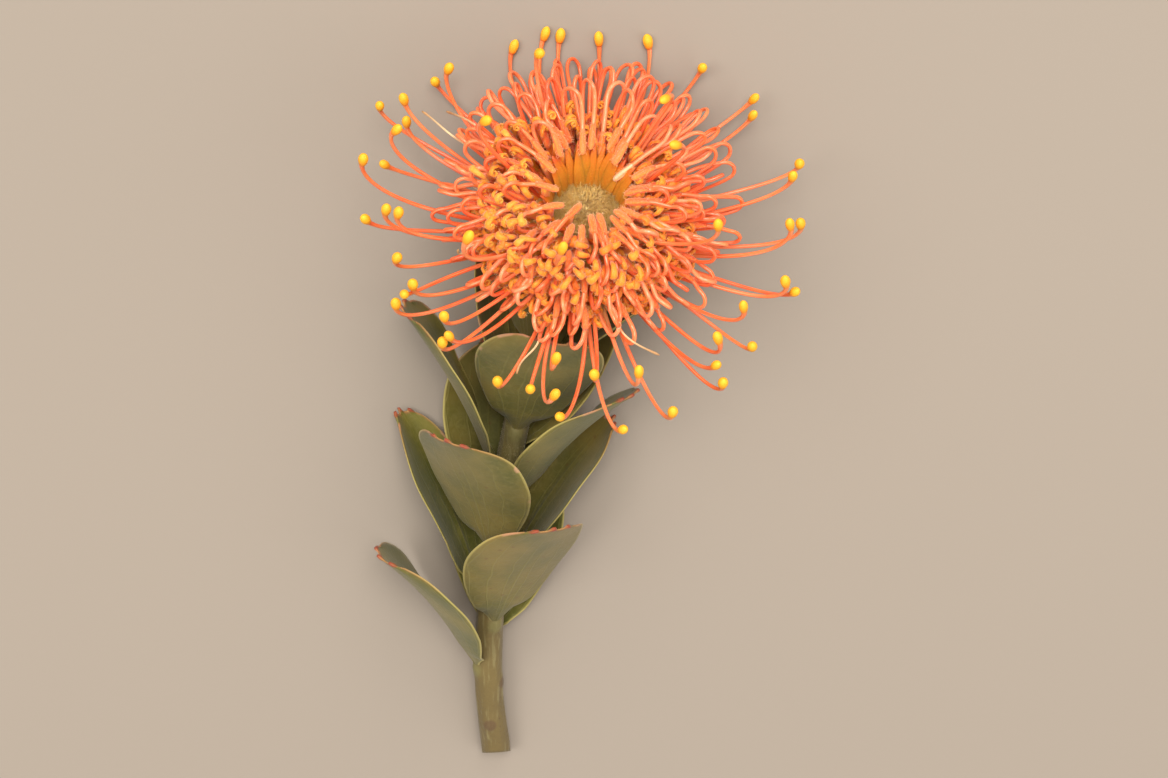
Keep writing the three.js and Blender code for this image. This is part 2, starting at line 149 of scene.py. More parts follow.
def wrapped(shape):
    """Quads of bars with a grid of corners (bars, rings, places round), and their flat ends."""
    index = np.arange(np.prod(shape)).reshape(shape)
    turned = np.roll(index, -1, 2)
    quads = np.stack([index[:, :-1], turned[:, :-1], turned[:, 1:], index[:, 1:]], -1)
    ends = np.concatenate([index[:, 0, ::-1], index[:, -1]])
    return quads.reshape(-1, 4).tolist() + ends.tolist()


def add_object(name, data):
    made = bpy.data.objects.new(name, data)
    bpy.context.scene.collection.objects.link(made)
    return made


def make_piece(name, node, finish, corners, faces, **marks):
    """Puts a grid of corners in sprig millimetres, its faces and its marks into a piece.

    The piece is attached to the root body, and the model's node that it stands for is hidden.
    """
    mesh = bpy.data.meshes.new(name)
    mesh.from_pydata(((corners.reshape(-1, 3) + TO_FRAME) * METRES).tolist(), [], faces)
    mesh.polygons.foreach_set("use_smooth", np.ones(len(mesh.polygons), bool))
    for mark, values in marks.items():
        values = np.broadcast_to(values, corners.shape[:-1]).astype(np.float32)
        mesh.attributes.new(mark, "FLOAT", "POINT").data.foreach_set("value", values.ravel())
    mesh.materials.append(finish)
    mesh.update()
    piece = add_object(name, mesh)
    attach(piece, "root")
    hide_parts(node)
    return piece


def fill(tree, node, inputs):
    """Fills a shader node's inputs with values, or with links from other sockets."""
    for key, value in inputs.items():
        if isinstance(value, bpy.types.NodeSocket):
            tree.links.new(value, node.inputs[key])
        else:
            node.inputs[key].default_value = value


def place(tree, kind, inputs, **settings):
    """Adds a shader node with its settings and its inputs."""
    made = tree.nodes.new(kind)
    for key, value in settings.items():
        setattr(made, key, value)
    fill(tree, made, inputs)
    return made


def noise(tree, where, scale, detail):
    return place(tree, "ShaderNodeTexNoise",
                 {"Vector": where, "Scale": scale, "Detail": detail}).outputs[0]


def sums(tree, operation, a, b=0.0, c=0.0):
    """One math node's result."""
    return place(tree, "ShaderNodeMath", {0: a, 1: b, 2: c}, operation=operation).outputs[0]


def between(tree, value, low, high, to_low=0.0, to_high=1.0):
    """A value's smooth step from low to high, as to_low to to_high."""
    return place(tree, "ShaderNodeMapRange", {0: value, 1: low, 2: high, 3: to_low, 4: to_high},
                 interpolation_type="SMOOTHSTEP").outputs[0]


def mark_value(tree, name):
    return place(tree, "ShaderNodeAttribute", {}, attribute_name=name).outputs["Fac"]


def colour(code):
    """Linear colour from a screen colour of six hex digits."""
    level = np.array([int(code[i:i + 2], 16) for i in (0, 2, 4)]) / 255
    linear = np.where(level <= 0.04045, level / 12.92, ((level + 0.055) / 1.055) ** 2.4)
    return (*linear.tolist(), 1.0)


def blended(tree, share, a, b):
    """Colour a towards colour b by a share."""
    return place(tree, "ShaderNodeMix", {0: share, 6: a, 7: b}, data_type="RGBA").outputs[2]


def ramp(tree, value, stops):
    """Colours along a value: stops are (value, colour code)."""
    made = place(tree, "ShaderNodeValToRGB", {0: value})
    elements = made.color_ramp.elements
    while len(elements) < len(stops):
        elements.new(1.0)
    for element, (position, code) in zip(elements, stops):
        element.position = position
        element.color = colour(code)
    return made.outputs[0]


def coated(tree, look, base, coats):
    """A base colour under thin coats of other colours.

    A coat is (value, share, colour code), as strong as the value times the share, or (value,
    start, full, share, colour code), a smooth step from nothing at start to the share at full.
    The value is a socket, an output of the shared grain, or a mark of the mesh.
    """
    for value, *span, share, code in coats:
        if isinstance(value, str):
            value = look[value] if value in look else mark_value(tree, value)
        if span:
            ends = (0.0, share) if span[0] < span[1] else (share, 0.0)
            value = between(tree, value, *sorted(span), *ends)
        elif share < 1:
            value = sums(tree, "MULTIPLY", value, share)
        base = blended(tree, value, base, colour(code))
    return base


def plant_grain():
    """Shared grain of all surfaces: slow tone changes, fine grain, and sparse small specks."""
    group = bpy.data.node_groups.new("plant_grain", "ShaderNodeTree")
    sockets = group.interface
    sockets.new_socket("Place", in_out="INPUT", socket_type="NodeSocketVector")
    for name in ("Patches", "Grains", "Speck spread"):
        sockets.new_socket(name, in_out="INPUT", socket_type="NodeSocketFloat")
    for name in ("Tone", "Grain", "Specks"):
        sockets.new_socket(name, in_out="OUTPUT", socket_type="NodeSocketFloat")
    given = group.nodes.new("NodeGroupInput").outputs
    cells = place(group, "ShaderNodeTexVoronoi",
                  {"Vector": given["Place"], "Scale": given["Speck spread"]}).outputs
    red = place(group, "ShaderNodeSeparateColor", {0: cells["Color"]}).outputs[0]
    chosen = sums(group, "GREATER_THAN", red, 0.72)
    spot = between(group, cells["Distance"], 0.08, 0.2, 1.0, 0.0)
    fill(group, group.nodes.new("NodeGroupOutput"), {
        "Tone": between(group, noise(group, given["Place"], given["Patches"], 3.0), 0.3, 0.7),
        "Grain": noise(group, given["Place"], given["Grains"], 2.0),
        "Specks": sums(group, "MULTIPLY", spot, chosen),
    })
    return group


GRAIN = plant_grain()


def new_finish(name, patches, grains, specks):
    """An empty material, its nodes, the piece's Object coordinates, and the shared grain there."""
    material = bpy.data.materials.new(name)
    material.use_nodes = True
    tree = material.node_tree
    where = place(tree, "ShaderNodeTexCoord", {}).outputs["Object"]
    look = place(tree, "ShaderNodeGroup", {
        "Place": where, "Patches": patches, "Grains": grains, "Speck spread": specks,
    }, node_tree=GRAIN).outputs
    return material, tree, where, look


def finished(material, base, rough, sheen=0.0, specular=0.5, under=None, bump=None):
    """Fills the material's shader, and returns the material.

    under is the weight, scale and radius of the light below the skin, and bump is the height,
    its strength and its distance in metres.
    """
    tree = material.node_tree
    inputs = {"Base Color": base, "Roughness": rough, "Sheen Weight": sheen,
              "Specular IOR Level": specular}
    if under:
        inputs.update(zip(("Subsurface Weight", "Subsurface Scale", "Subsurface Radius"), under))
    if bump:
        raised = dict(zip(("Height", "Strength", "Distance"), bump))
        inputs["Normal"] = place(tree, "ShaderNodeBump", raised).outputs[0]
    fill(tree, tree.nodes["Principled BSDF"], inputs)
    return material


def bark_finish():
    """Bark: green-brown, streaked lengthwise, with greener cushions, brown scars and specks."""
    material, tree, where, look = new_finish("downy_green_brown_bark", 90, 1100, 520)
    drawn_out = place(tree, "ShaderNodeMapping", {"Vector": where, "Scale": (1.0, 0.08, 1.0)})
    streaks = noise(tree, drawn_out.outputs[0], 900.0, 3.0)
    base = ramp(tree, mark_value(tree, "up"),
                [(0, "645329"), (0.35, "69592c"), (0.75, "6d6636"), (1, "787246")])
    base = coated(tree, look, base, [
        ("Tone", 0.35, "554524"),
        (streaks, 0.52, 0.66, 0.5, "82784f"),
        ("cushion", 0.15, 0.8, 0.7, "716b3c"),
        ("scar", 0.4, 0.75, 0.8, "553e23"),
        ("Specks", 0.6, "472d19"),
    ])
    height = sums(tree, "MULTIPLY_ADD", streaks, 0.7, look["Grain"])
    return finished(material, base, 0.72, sheen=0.12, bump=(height, 0.5, 0.0004))


def cut_finish():
    """The cut: pale damp wood with a wavering brown pith, and a green line under the bark."""
    material, tree, where, look = new_finish("fresh_cut_wood", 400, 2500, 900)
    out = sums(tree, "MULTIPLY_ADD", sums(tree, "SUBTRACT", look["Tone"], 0.5), 0.06,
               mark_value(tree, "out"))
    base = ramp(tree, out, [(0, "8b7350"), (0.16, "a98f62"), (0.22, "dccb9a"), (0.55, "e3d6ab"),
                            (0.8, "cfc58c"), (0.88, "8a9655"), (0.95, "6b5c38")])
    base = coated(tree, look, base, [("Grain", 0.4, "b39a68")])
    return finished(material, base, 0.5, bump=(look["Grain"], 0.4, 0.0003))


# bark grid: radius, plus low ridges, a cushion under each leaf and a scar where leaves were stripped
shares = np.linspace(0, 1, SHOOT_RINGS)[:, None]
angles = np.arange(SHOOT_SIDES) / SHOOT_SIDES * 2 * np.pi
along, right, up = (axis[:, None] for axis in stem_axes(shares[:, 0]))
stem_length = smooth_lines(STEM_POINTS[None], [1.0])[1][0, 0]
radius = stem_radius(shares) * np.ones(len(angles))
radius += 0.07 * np.sin(7 * angles + 9 * shares) * (1 - shares)
radius += 0.05 * np.sin(13 * angles - 31 * shares + 1.3)
cushion = np.zeros_like(radius)
scar = np.zeros_like(radius)
number = np.arange(LEAF_COUNT)
leaf_shares = mix(0.185, 0.805, number / (LEAF_COUNT - 1))
leaf_turns = FIRST_LEAF_TURN + number * GOLDEN_ANGLE
scar_turns = FIRST_LEAF_TURN - np.arange(len(SCAR_SHARES), 0, -1) * GOLDEN_ANGLE
for share, turn in [*zip(leaf_shares, leaf_turns), *zip(SCAR_SHARES, scar_turns)]:
    aside = (angles - turn + np.pi) % (2 * np.pi) - np.pi
    away = (shares - share) * stem_length + 1.6
    bump = np.exp(-(away / CUSHION_REACH) ** 2 - (aside * radius / CUSHION_REACH) ** 2)
    carries = share >= leaf_shares[0]
    radius += (CUSHION_HEIGHT if carries else SCAR_HEIGHT) * bump
    kept = cushion if carries else scar
    np.maximum(kept, bump, out=kept)
grid = (stem_place(shares[:, 0])[:, None] + right * (np.cos(angles) * radius)[..., None]
        + up * (np.sin(angles) * radius)[..., None])
near_cut = 1 - smooth(grid[..., 1], CUT_MIDDLE[1], CUT_MIDDLE[1] + 10)
grid[..., 1] += (grid[..., 2] - CUT_MIDDLE[2]) * CUT_SLANT * near_cut
grid[..., 2] = np.maximum(grid[..., 2], TABLE_GAP)
# rings of the same kind run inwards over the cut, so that the shoot is one closed skin
inward = np.array([0.01, 0.1, 0.22, 0.36, 0.5, 0.64, 0.78, 0.88, 0.95, 0.985])[:, None]
centre = grid[0].mean(0)
face_rings = centre + (grid[0] - centre) * inward[..., None]
face_rings[:, :, 1] += 0.12 * np.sin(angles * 11 + inward * 20) * (1 - inward)
whole = np.concatenate([face_rings, grid])
none_on_cut = np.zeros((len(inward), len(angles)))
# the corners run from right to up, against the grid's own way round, so each face is turned over
faces = [face[::-1] for face in wrapped((1, *whole.shape[:2]))]
shoot = make_piece(
    "stem_shoot", "stem", bark_finish(), whole, faces,
    up=np.concatenate([0 * inward, shares]),
    out=np.concatenate([inward, np.ones_like(shares)]),
    cushion=np.concatenate([none_on_cut, cushion]),
    scar=np.concatenate([none_on_cut, scar]),
)
shoot.data.materials.append(cut_finish())
on_cut = np.zeros(len(faces), np.int32)
on_cut[:(len(inward) - 1) * len(angles)] = 1
on_cut[-2] = 1
shoot.data.polygons.foreach_set("material_index", on_cut)


# Down of the shoot
# Short pale hairs stand all round the upper half of the shoot and lean towards its foot. They grow
# from the young bark, which is greener there.
STEM_HAIRS = 4200
HAIR_RADII = [0.05, 0.04, 0.012]


def ring_axes(lines, reference):
    """Along each line, and the two axes of the ring that lies square to it at each point.

    The first axis is the reference direction with its part along the line taken away, and the
    second is the cross product of line and first axis.
    """
    along = unit(np.gradient(lines, axis=1))
    reference = np.broadcast_to(reference.reshape(len(reference), -1, 3), lines.shape)
    first = unit(reference - along * np.sum(reference * along, -1, keepdims=True))
    return along, first, np.cross(along, first)


def half_widths(radii, lines):
    """A ring's two half widths at each point: a pair for flat bars, one for both in round bars."""
    pair = radii if isinstance(radii, tuple) else (radii, radii)
    return [np.broadcast_to(each, lines.shape[:2]) for each in pair]


def bars(name, finish, lines, radii, reference, sides, lobes=0.0, node="flower_head", **marks):
    """One piece of closed bars along many lines (lines, points, 3); returns the lines it used.

    Each point carries a ring: point + first cos(angle) wide + second sin(angle) thick. With lobes
    the radii are multiplied by 1 + lobes cos(4 angle), four low ribs. A point is lifted where its
    ring would sink into the table. Marks are for the points, or for the ring's places if 3-D.
    """
    wide, thick = half_widths(radii, lines)
    lines = lines.copy()
    lines[..., 2] = np.maximum(lines[..., 2], wide + TABLE_GAP)
    along, first, second = ring_axes(lines, reference)
    angle = np.arange(sides) / sides * 2 * np.pi
    rib = 1 + lobes * np.cos(4 * angle)
    ring = (first[:, :, None] * (np.cos(angle) * rib * wide[..., None])[..., None]
            + second[:, :, None] * (np.sin(angle) * rib * thick[..., None])[..., None])
    corners = lines[:, :, None] + ring
    for mark, values in marks.items():
        marks[mark] = values if np.ndim(values) == 3 else np.asarray(values)[..., None]
    make_piece(name, node, finish, corners, wrapped(corners.shape[:3]), **marks)
    return lines


def down(name, finish, lines, radii, reference, each, shares, length, seed, node="flower_head"):
    """One piece of fine hairs on bars: each stands at a drawn share of its line, and at a turn.

    A hair leaves square to the bar's skin and leans over towards the line's first end. shares
    are the lowest and highest share of the line that carry hairs.
    """
    wide, thick = half_widths(radii, lines)
    i = np.arange(len(lines) * each)
    bar = i // each
    spot = draw(i, seed, *shares) * (lines.shape[1] - 1)
    k = np.minimum(spot.astype(int), lines.shape[1] - 2)

    def at(values):
        share = (spot - k).reshape(-1, *[1] * (values.ndim - 2))
        return mix(values[bar, k], values[bar, k + 1], share)

    angle = draw(i, seed + 1)[:, None] * 2 * np.pi
    along, first, second = (unit(at(axis)) for axis in ring_axes(lines, reference))
    skin = first * np.cos(angle) * at(wide)[:, None] + second * np.sin(angle) * at(thick)[:, None]
    stands = unit(skin)
    reach = (length * draw(i, seed + 2, 0.6, 1.2))[:, None]
    root = at(lines) + 0.9 * skin
    middle = root + reach * (0.5 * stands - 0.2 * along)
    tip = root + reach * (0.75 * stands - 0.65 * along)
    bars(name, finish, np.stack([root, middle, tip], 1), HAIR_RADII,
         along + 0.4 * np.cross(along, stands), 3, node=node, along=[0, 0.5, 1])


def plain_finish(name, grain, stops, coats, rough, mark="along", bump=None, **rest):
    """A finish with colours along a mark, coats over them, and the grain as its bump."""
    material, tree, where, look = new_finish(name, *grain)
    base = coated(tree, look, ramp(tree, mark_value(tree, mark), stops), coats)
    if bump:
        bump = (look["Grain"], *bump)
    return finished(material, base, rough, bump=bump, **rest)


# olive at the root and pale at the tip
STEM_DOWN = plain_finish(
    "pale_stem_down", (500, 3000, 900),
    [(0, "8a8450"), (0.5, "b8ae80"), (1, "ded4ae")],
    [("Tone", 0.4, "c9bd8e")],
    rough=0.6)

upper = np.linspace(0.42, 0.97, 60)
down("stem_down", STEM_DOWN, stem_place(upper)[None], stem_radius(upper),
     np.array([[0.0, 0.0, 1.0]]), STEM_HAIRS, (0.0, 1.0), 0.7, 121, node="stem")


# Bracts
# Small pointed downy scales overlap like tiles round the thickened top of the stem and on under
# the flower head. They grow from it; their tips are brown and their edges silky.
BRACT_ROWS = 9
BRACTS_A_ROW = 11
BRACT_HALF_WIDTH = 2.5
BRACT_HALF_THICKNESS = 0.28
# radius and height on the head's axis of the path that the scales' feet climb
UNDER_HEAD = np.array([
    [4.7, -18], [5.2, -12], [5.7, -6], [6.1, -1.5], [7.2, 0.2], [10.6, 0.8], [14.5, 3.4],
])
HEAD_RIGHT = unit(np.array([HEAD_AXIS[1], -HEAD_AXIS[0], 0.0]))
HEAD_DOWN = np.cross(HEAD_AXIS, HEAD_RIGHT)
REST_HEIGHT = 0.75
REST_SOFTNESS = 1.1


def sheets(name, node, finish, middle, half, **marks):
    """One piece of closed thin sheets from middle grids (sheets, rows, columns, 3).

    Each skin is the middle moved along the facing direction, the cross product of the lengthwise
    and crosswise steps, by the half thickness; a rim joins the two skins.
    """
    facing = unit(np.cross(np.gradient(middle, axis=1), np.gradient(middle, axis=2)))
    skins = np.stack([middle + facing * half[..., None], middle - facing * half[..., None]], 1)
    skins[..., 2] = np.maximum(skins[..., 2], TABLE_GAP / 2)
    index = np.arange(skins[..., 0].size).reshape(skins.shape[:-1])
    top, bottom = index[:, 0], index[:, 1]
    upper = [top[:, :-1, :-1], top[:, 1:, :-1], top[:, 1:, 1:], top[:, :-1, 1:]]
    lower = [bottom[:, :-1, :-1], bottom[:, :-1, 1:], bottom[:, 1:, 1:], bottom[:, 1:, :-1]]

    def border(a):
        return np.concatenate([a[:, 0, :-1], a[:, :-1, -1], a[:, -1, :0:-1], a[:, :0:-1, 0]], 1)

    edge, under = border(top), border(bottom)
    rim = [edge, np.roll(edge, -1, 1), np.roll(under, -1, 1), under]
    faces = np.concatenate([np.stack(part, -1).reshape(-1, 4) for part in (upper, lower, rim)])
    make_piece(name, node, finish, skins, faces.tolist(), **marks)


def outwards(turn):
    return HEAD_RIGHT * np.cos(turn)[..., None] + HEAD_DOWN * np.sin(turn)[..., None]


def sideways(turn):
    return HEAD_DOWN * np.cos(turn)[..., None] - HEAD_RIGHT * np.sin(turn)[..., None]


def head_point(r, h, turn, aside=0.0):
    """Point of the head from its radius, height on the axis, turn and sideways offset.

    Heights over the table level off at a style's radius: z becomes rest + s log(1 + e^((z-rest)/s)).
    """
    r, h, turn, aside = np.broadcast_arrays(r, h, turn, aside)
    point = (HEAD_BASE + HEAD_AXIS * h[..., None] + outwards(turn) * r[..., None]
             + sideways(turn) * aside[..., None])
    point[..., 2] = REST_HEIGHT + REST_SOFTNESS * np.logaddexp(
        0, (point[..., 2] - REST_HEIGHT) / REST_SOFTNESS)
    return point


# olive and tan down, brown towards the tip, with a pale silky edge
BRACT = plain_finish(
    "downy_bract", (500, 3000, 1500),
    [(0, "8f8a58"), (0.45, "a08c5c"), (0.8, "9a6e44"), (1, "74442c")],
    [("Tone", 0.4, "b59c68"), ("Grain", 0.5, 0.7, 0.4, "cdb888"),
     ("edge", 0.55, 1.0, 0.75, "e2d3a6")],
    rough=0.85, mark="reach", sheen=0.3, bump=(0.7, 0.0003))

# the scales' feet climb the peduncle and then the underside of the receptacle
number = np.arange(BRACT_ROWS * BRACTS_A_ROW)[:, None, None]
row = number // BRACTS_A_ROW
turn = (number + 0.5 * (row % 2)) / BRACTS_A_ROW * 2 * np.pi + jitter(number, 31, 0.25)
foot = row / (BRACT_ROWS - 1) * 0.72
reach = np.linspace(0, 1, 8)[:, None]
across = np.linspace(-1, 1, 7)
travel = foot + reach * (0.24 + 0.05 * draw(number, 32))
r, h = (np.interp(travel, np.linspace(0, 1, len(UNDER_HEAD)), UNDER_HEAD[:, j]) for j in (0, 1))
r = r + (0.1 + 0.8 * reach ** 2 + 0.5 * draw(number, 33) * reach)
pointed = 1 - smooth(reach, 0.45, 1.02) ** 1.3
side = BRACT_HALF_WIDTH * (0.75 + 0.25 * smooth(reach, 0, 0.4)) * pointed * across
middle = head_point(r - side ** 2 / (2 * r), h, turn, side)
half = BRACT_HALF_THICKNESS * (1 - 0.6 * across ** 2) * (1 - 0.5 * reach)
sheets("stem_bracts", "stem", BRACT, middle, half, reach=reach, edge=np.abs(across))


# Receptacle
# The woody dome that all the florets grow from. At its top it is a shallow bowl felted with
# short greenish-tan wool, which shows in the middle of the half-open head.
BOWL_RADIUS = 9.4
RECEPTACLE_PROFILE = np.array([
    [0.05, 0.3], [5.2, 0.3], [12, 1.5], [16.5, 5.5], [17, 11], [15, 17], [10.8, 21.0],
    [8.8, 19.8], [6.0, 19.2], [3.0, 19.6], [0.05, 20.0],
])


def felt_finish():
    """Felt: greenish tan with pale fibres; olive at the bowl's edge, partly painted shade; orange deep
    down, painted shade.
    """
    material, tree, where, look = new_finish("greenish_tan_felt", 320, 1600, 700)
    base = blended(tree, look["Tone"], colour("d0a240"), colour("e4ba5c"))
    base = coated(tree, look, base, [
        ("Grain", 0.45, 0.7, 0.7, "edcb7e"),
        # the olive coat at the bowl's edge is partly the felt's own olive and partly painted shade next
        # to the wall
        ("middle", 0.45, 0.0, 0.6, "aa8d3e"),
        ("middle", 0.55, 1.2, 0.85, "f6e19d"),
        # the orange coat on deep places is painted shade between the florets and at the wool's roots
        ("deep", 0.0, 1.0, 0.95, "ce6615"),
    ])
    return finished(material, base, 0.9, sheen=0.25, bump=(look["Grain"], 0.8, 0.0006))


FELT = felt_finish()
turns = np.arange(60) / 60 * 2 * np.pi
steps = np.linspace(0, 1, 46)[:, None]
spots = np.linspace(0, 1, len(RECEPTACLE_PROFILE))
r, h = (np.interp(steps, spots, RECEPTACLE_PROFILE[:, j]) for j in (0, 1))
bumps = 0.3 * np.sin(turns * 13 + h * 2.1) * np.sin(h * 1.7 + turns * 5) * np.minimum(1, r / 6)
grid = head_point(np.maximum(r + bumps, 0.05), h + bumps, turns)
# deep marks the dome's flank under the florets, where the felt gets its painted orange shade
make_piece("head_receptacle", "flower_head", FELT, grid, wrapped((1, *grid.shape[:2])),
           deep=1 - smooth(h, 14, 17.5), middle=1 - r / BOWL_RADIUS)


# Wool of the bowl
# Short curled fibres stand up from the felt, and longer pale ones lie outwards over its middle.
# They are plant hairs, each grown from the receptacle's skin.
BOWL_FLOOR = ([0, 3, 6, 8.8, 10.8], [20.0, 19.6, 19.2, 19.8, 21.0])
WOOL_COUNT = 3400
WOOL_RADIUS = 0.075
TUFT_COUNT = 380
TUFT_RADIUS = 0.08
TUFT_SPREAD = 4.4


def spiral(count, power=1.0):
    """Item numbers as a column, their shares of the way outwards, and their golden-angle turns."""
    i = np.arange(count)[:, None]
    return i, ((i + 0.5) / count) ** power, i * GOLDEN_ANGLE


i, share, turn = spiral(WOOL_COUNT)
r = BOWL_RADIUS * np.sqrt(draw(i, 41))
step = np.linspace(0, 1, 6)
rise = (1.6 + 3.2 * draw(i, 42)) * step * (1 - 0.45 * step)
inwards = (2.0 - 5.0 * draw(i, 43)) * step ** 1.6 * np.minimum(1, r / 5)
swing = jitter(i, 44, 7.0) * np.sin(step * 2.2)
lines = head_point(r + inwards, np.interp(r, *BOWL_FLOOR) - 0.2 + rise, turn, swing)
# deep tints each fibre's root orange: painted shade among the crowded fibres
bars("head_wool", FELT, lines, WOOL_RADIUS * (1.1 - step), sideways(turn) + 0.3 * HEAD_AXIS, 3,
     deep=0.3 * (1 - step) ** 2, middle=1 - r / BOWL_RADIUS)

i, share, turn = spiral(TUFT_COUNT)
start = TUFT_SPREAD * np.sqrt(draw(i, 45))
bearing = turn + jitter(i, 49, 3.0) + jitter(i, 40, 2.4) * step
gone = draw(i, 46, 1.6, 3.8) * step
h = 20.2 + 1.6 * draw(i, 47) + 1.5 * np.sin(step * np.pi * draw(i, 48, 0.5, 1.0))
lines = head_point(start * np.cos(turn) + gone * np.cos(bearing), h, 0.0,
                   start * np.sin(turn) + gone * np.sin(bearing))
bars("head_wool_tuft", FELT, lines, TUFT_RADIUS * (1.1 - step), sideways(turn) + 0.3 * HEAD_AXIS,
     3, deep=0.0, middle=draw(i, 44, 0.35, 0.95))


# Unsprung florets
# Each is a wiry coral style whose blunt tip is still held by its neighbours' side of the bud: it
# bows outwards in a hairpin over the dome and runs back down beside its downy orange tube.
DOME_RADIUS = 41
DOME_HEIGHT = 30
DOME_CENTRE = 9.5
LOOP_COUNT = 150
LIMB_LENGTH = 6.6
LOOP_BEND_WIDTH = 2.2
LOOP_BEND_DEPTH = 3.4
BEND_REACH = 6
STYLE_ROUND = np.abs(np.arange(8) / 4 - 1)[None, None]
LIMB_STOPS = np.array([0, 0.2, 0.55, 1.1, 1.9, 2.9, 4.0, 5.2, 6.2, 7.0])
LIMB_RADII = np.array([0.18, 0.5, 0.72, 0.88, 0.97, 0.98, 0.93, 0.84, 0.73, 0.62])
HAIRS_A_LIMB = 34


def style_finish():
    """Waxy coral: orange-red at the foot, coral along the wire, pinker and paler on blunt tips.

    The streaks' noise runs round the wire, along it and from style to style.
    """
    material, tree, where, look = new_finish("waxy_coral_style", 160, 1500, 800)
    along = mark_value(tree, "along")
    base = ramp(tree, along, [(0, "ef8654"), (0.2, "ed713e"), (0.45, "eb5f32"), (0.75, "e35826"),
                              (1, "db671e")])
    on_wire = place(tree, "ShaderNodeCombineXYZ", {
        0: sums(tree, "MULTIPLY", mark_value(tree, "round"), 9.0),
        1: sums(tree, "MULTIPLY", along, 5.0),
        2: sums(tree, "MULTIPLY", mark_value(tree, "tone"), 40.0),
    })
    base = coated(tree, look, base, [
        ("tone", 0.45, 1.0, 0.6, "f7986c"),
        ("tone", 0.4, 0.0, 0.6, "e34e28"),
        ("Tone", 0.3, "ef883d"),
        (noise(tree, on_wire.outputs[0], 1.0, 2.0), 0.45, 0.7, 0.45, "fbb089"),
        ("pale", 0.0, 1.0, 1.0, "c6af73"),
    ])
    return finished(material, base, 0.3, specular=0.6, under=(0.3, 0.002, (1.0, 0.35, 0.12)),
                    bump=(look["Grain"], 0.15, 0.0002))


STYLE = style_finish()
# downy tubes and rolled tepals: golden at the foot, orange above, yellow on the rolled ends; on the
# curls the yellow is partly a painted highlight
PERIANTH = plain_finish(
    "downy_orange_perianth", (260, 2200, 1100),
    [(0, "c08212"), (0.1, "d07c0d"), (0.3, "e4820a"), (0.42, "f28212"), (0.7, "f88f1c"),
     (1, "fca432")],
    [("tone", 0.62, 1.0, 0.85, "fdb548"), ("tone", 0.35, 0.0, 0.75, "ea640f"),
     ("Grain", 0.52, 0.72, 0.25, "fbb959")],
    rough=0.55, sheen=0.2, under=(0.5, 0.0025, (1.0, 0.45, 0.1)), bump=(0.4, 0.0003))
# closed ends: downy coral, orange in the seams and paler at the tip
LIMB = plain_finish(
    "downy_coral_limb", (300, 2600, 1300),
    [(0, "f29549"), (0.12, "f08236"), (0.4, "ee6f25"), (0.8, "ea641b"), (1, "e45816")],
    [("tone", 0.4, 1.0, 0.5, "f28446"), ("tone", 1.2, 1.6, 1.0, "f9be94"),
     ("tone", 0.4, 0.0, 0.5, "dc4720"), ("seam", 0.3, 1.0, 0.55, "f0912d"),
     ("Grain", 0.5, 0.7, 0.28, "fab988")],
    rough=0.55, sheen=0.3, under=(0.35, 0.002, (1.0, 0.4, 0.12)), bump=(0.45, 0.0003))
# silky hairs: orange at the root, pale peach at the tip, some of them whiter
DOWN = plain_finish(
    "silky_peach_down", (500, 3000, 900),
    [(0, "f0852e"), (0.5, "f9b164"), (1, "fddca8")],
    [("Tone", 0.5, "fbe1bc")],
    rough=0.45, sheen=0.3)

i, share, turn = spiral(LOOP_COUNT, 0.85)
angle = np.radians(mix(28, 87, share)) + jitter(i, 1, 0.1)
turn = turn + jitter(i, 3, 0.12)
out_r, out_h = np.sin(angle), np.cos(angle)
# the hairpins are longest and most open on the table's side, and shortest over the leaves
table_side = smooth(np.sin(turn), 0.0, 0.9)
leaf_side = smooth(-np.sin(turn), 0.0, 0.9)
size = 1 + jitter(i, 2, 0.1) + 0.14 * table_side - 0.09 * leaf_side
bend_r = DOME_RADIUS * out_r * size
bend_h = DOME_CENTRE + DOME_HEIGHT * out_h * size
root_r = 6 + 4.5 * share + 4.0 * (1 - share)
root_h = 20 - 17 * share
# the tips round the bowl stand back on its upper side and reach in over it on the others
innermost = 1 - smooth(share, 0.1, 0.45)
upper_side = smooth(np.sin(turn), -0.5, 0.7)
left_side = smooth(-np.cos(turn), 0.1, 0.8)
limb_r = (9.2 + 17.8 * share ** 1.3 + jitter(i, 6, 3.2)
          + innermost * mix(-2.4, 1.0, upper_side)
          + 5.0 * left_side * smooth(share, 0.12, 0.25) * (1 - smooth(share, 0.45, 0.7)))
limb_h = (32.5 - 13 * share ** 1.5 + jitter(i, 7, 1.6) - 2.5 * innermost * (1 - upper_side)
          - 4.0 * smooth(share, 0.16, 0.36))
spread = (1.2 + 0.4 * table_side) * (0.65 + 0.7 * draw(i, 4)) * np.where(draw(i, 5) < 0.5, -1, 1)
lean = jitter(i, 10, 5.0) * smooth(share, 0.0, 0.35)
# two tips reach far over the wool from its lower side, and two short pale ones at its upper right
reaching, short = (np.argsort(np.where(share < 0.3, np.cos(turn - bearing * np.pi), -9)[:, 0])[-2:]
                   for bearing in (1.4, 0.2))
limb_r[reaching, 0] -= [5.0, 2.2]
limb_r[short, 0] -= [3.6, 3.0]
limb_h[short] -= 4.5
tone = draw(i, 8)
tone[short] = 1.6
back_r = bend_r - LOOP_BEND_DEPTH * out_r
back_h = bend_h - LOOP_BEND_DEPTH * out_h


def on_bend(deep, wide):
    """Radius and height on the half ellipse of a bend, deep outwards and wide across that way."""
    return (back_r + LOOP_BEND_DEPTH * deep * out_r + LOOP_BEND_WIDTH * wide * out_h,
            back_h + LOOP_BEND_DEPTH * deep * out_h - LOOP_BEND_WIDTH * wide * out_r)


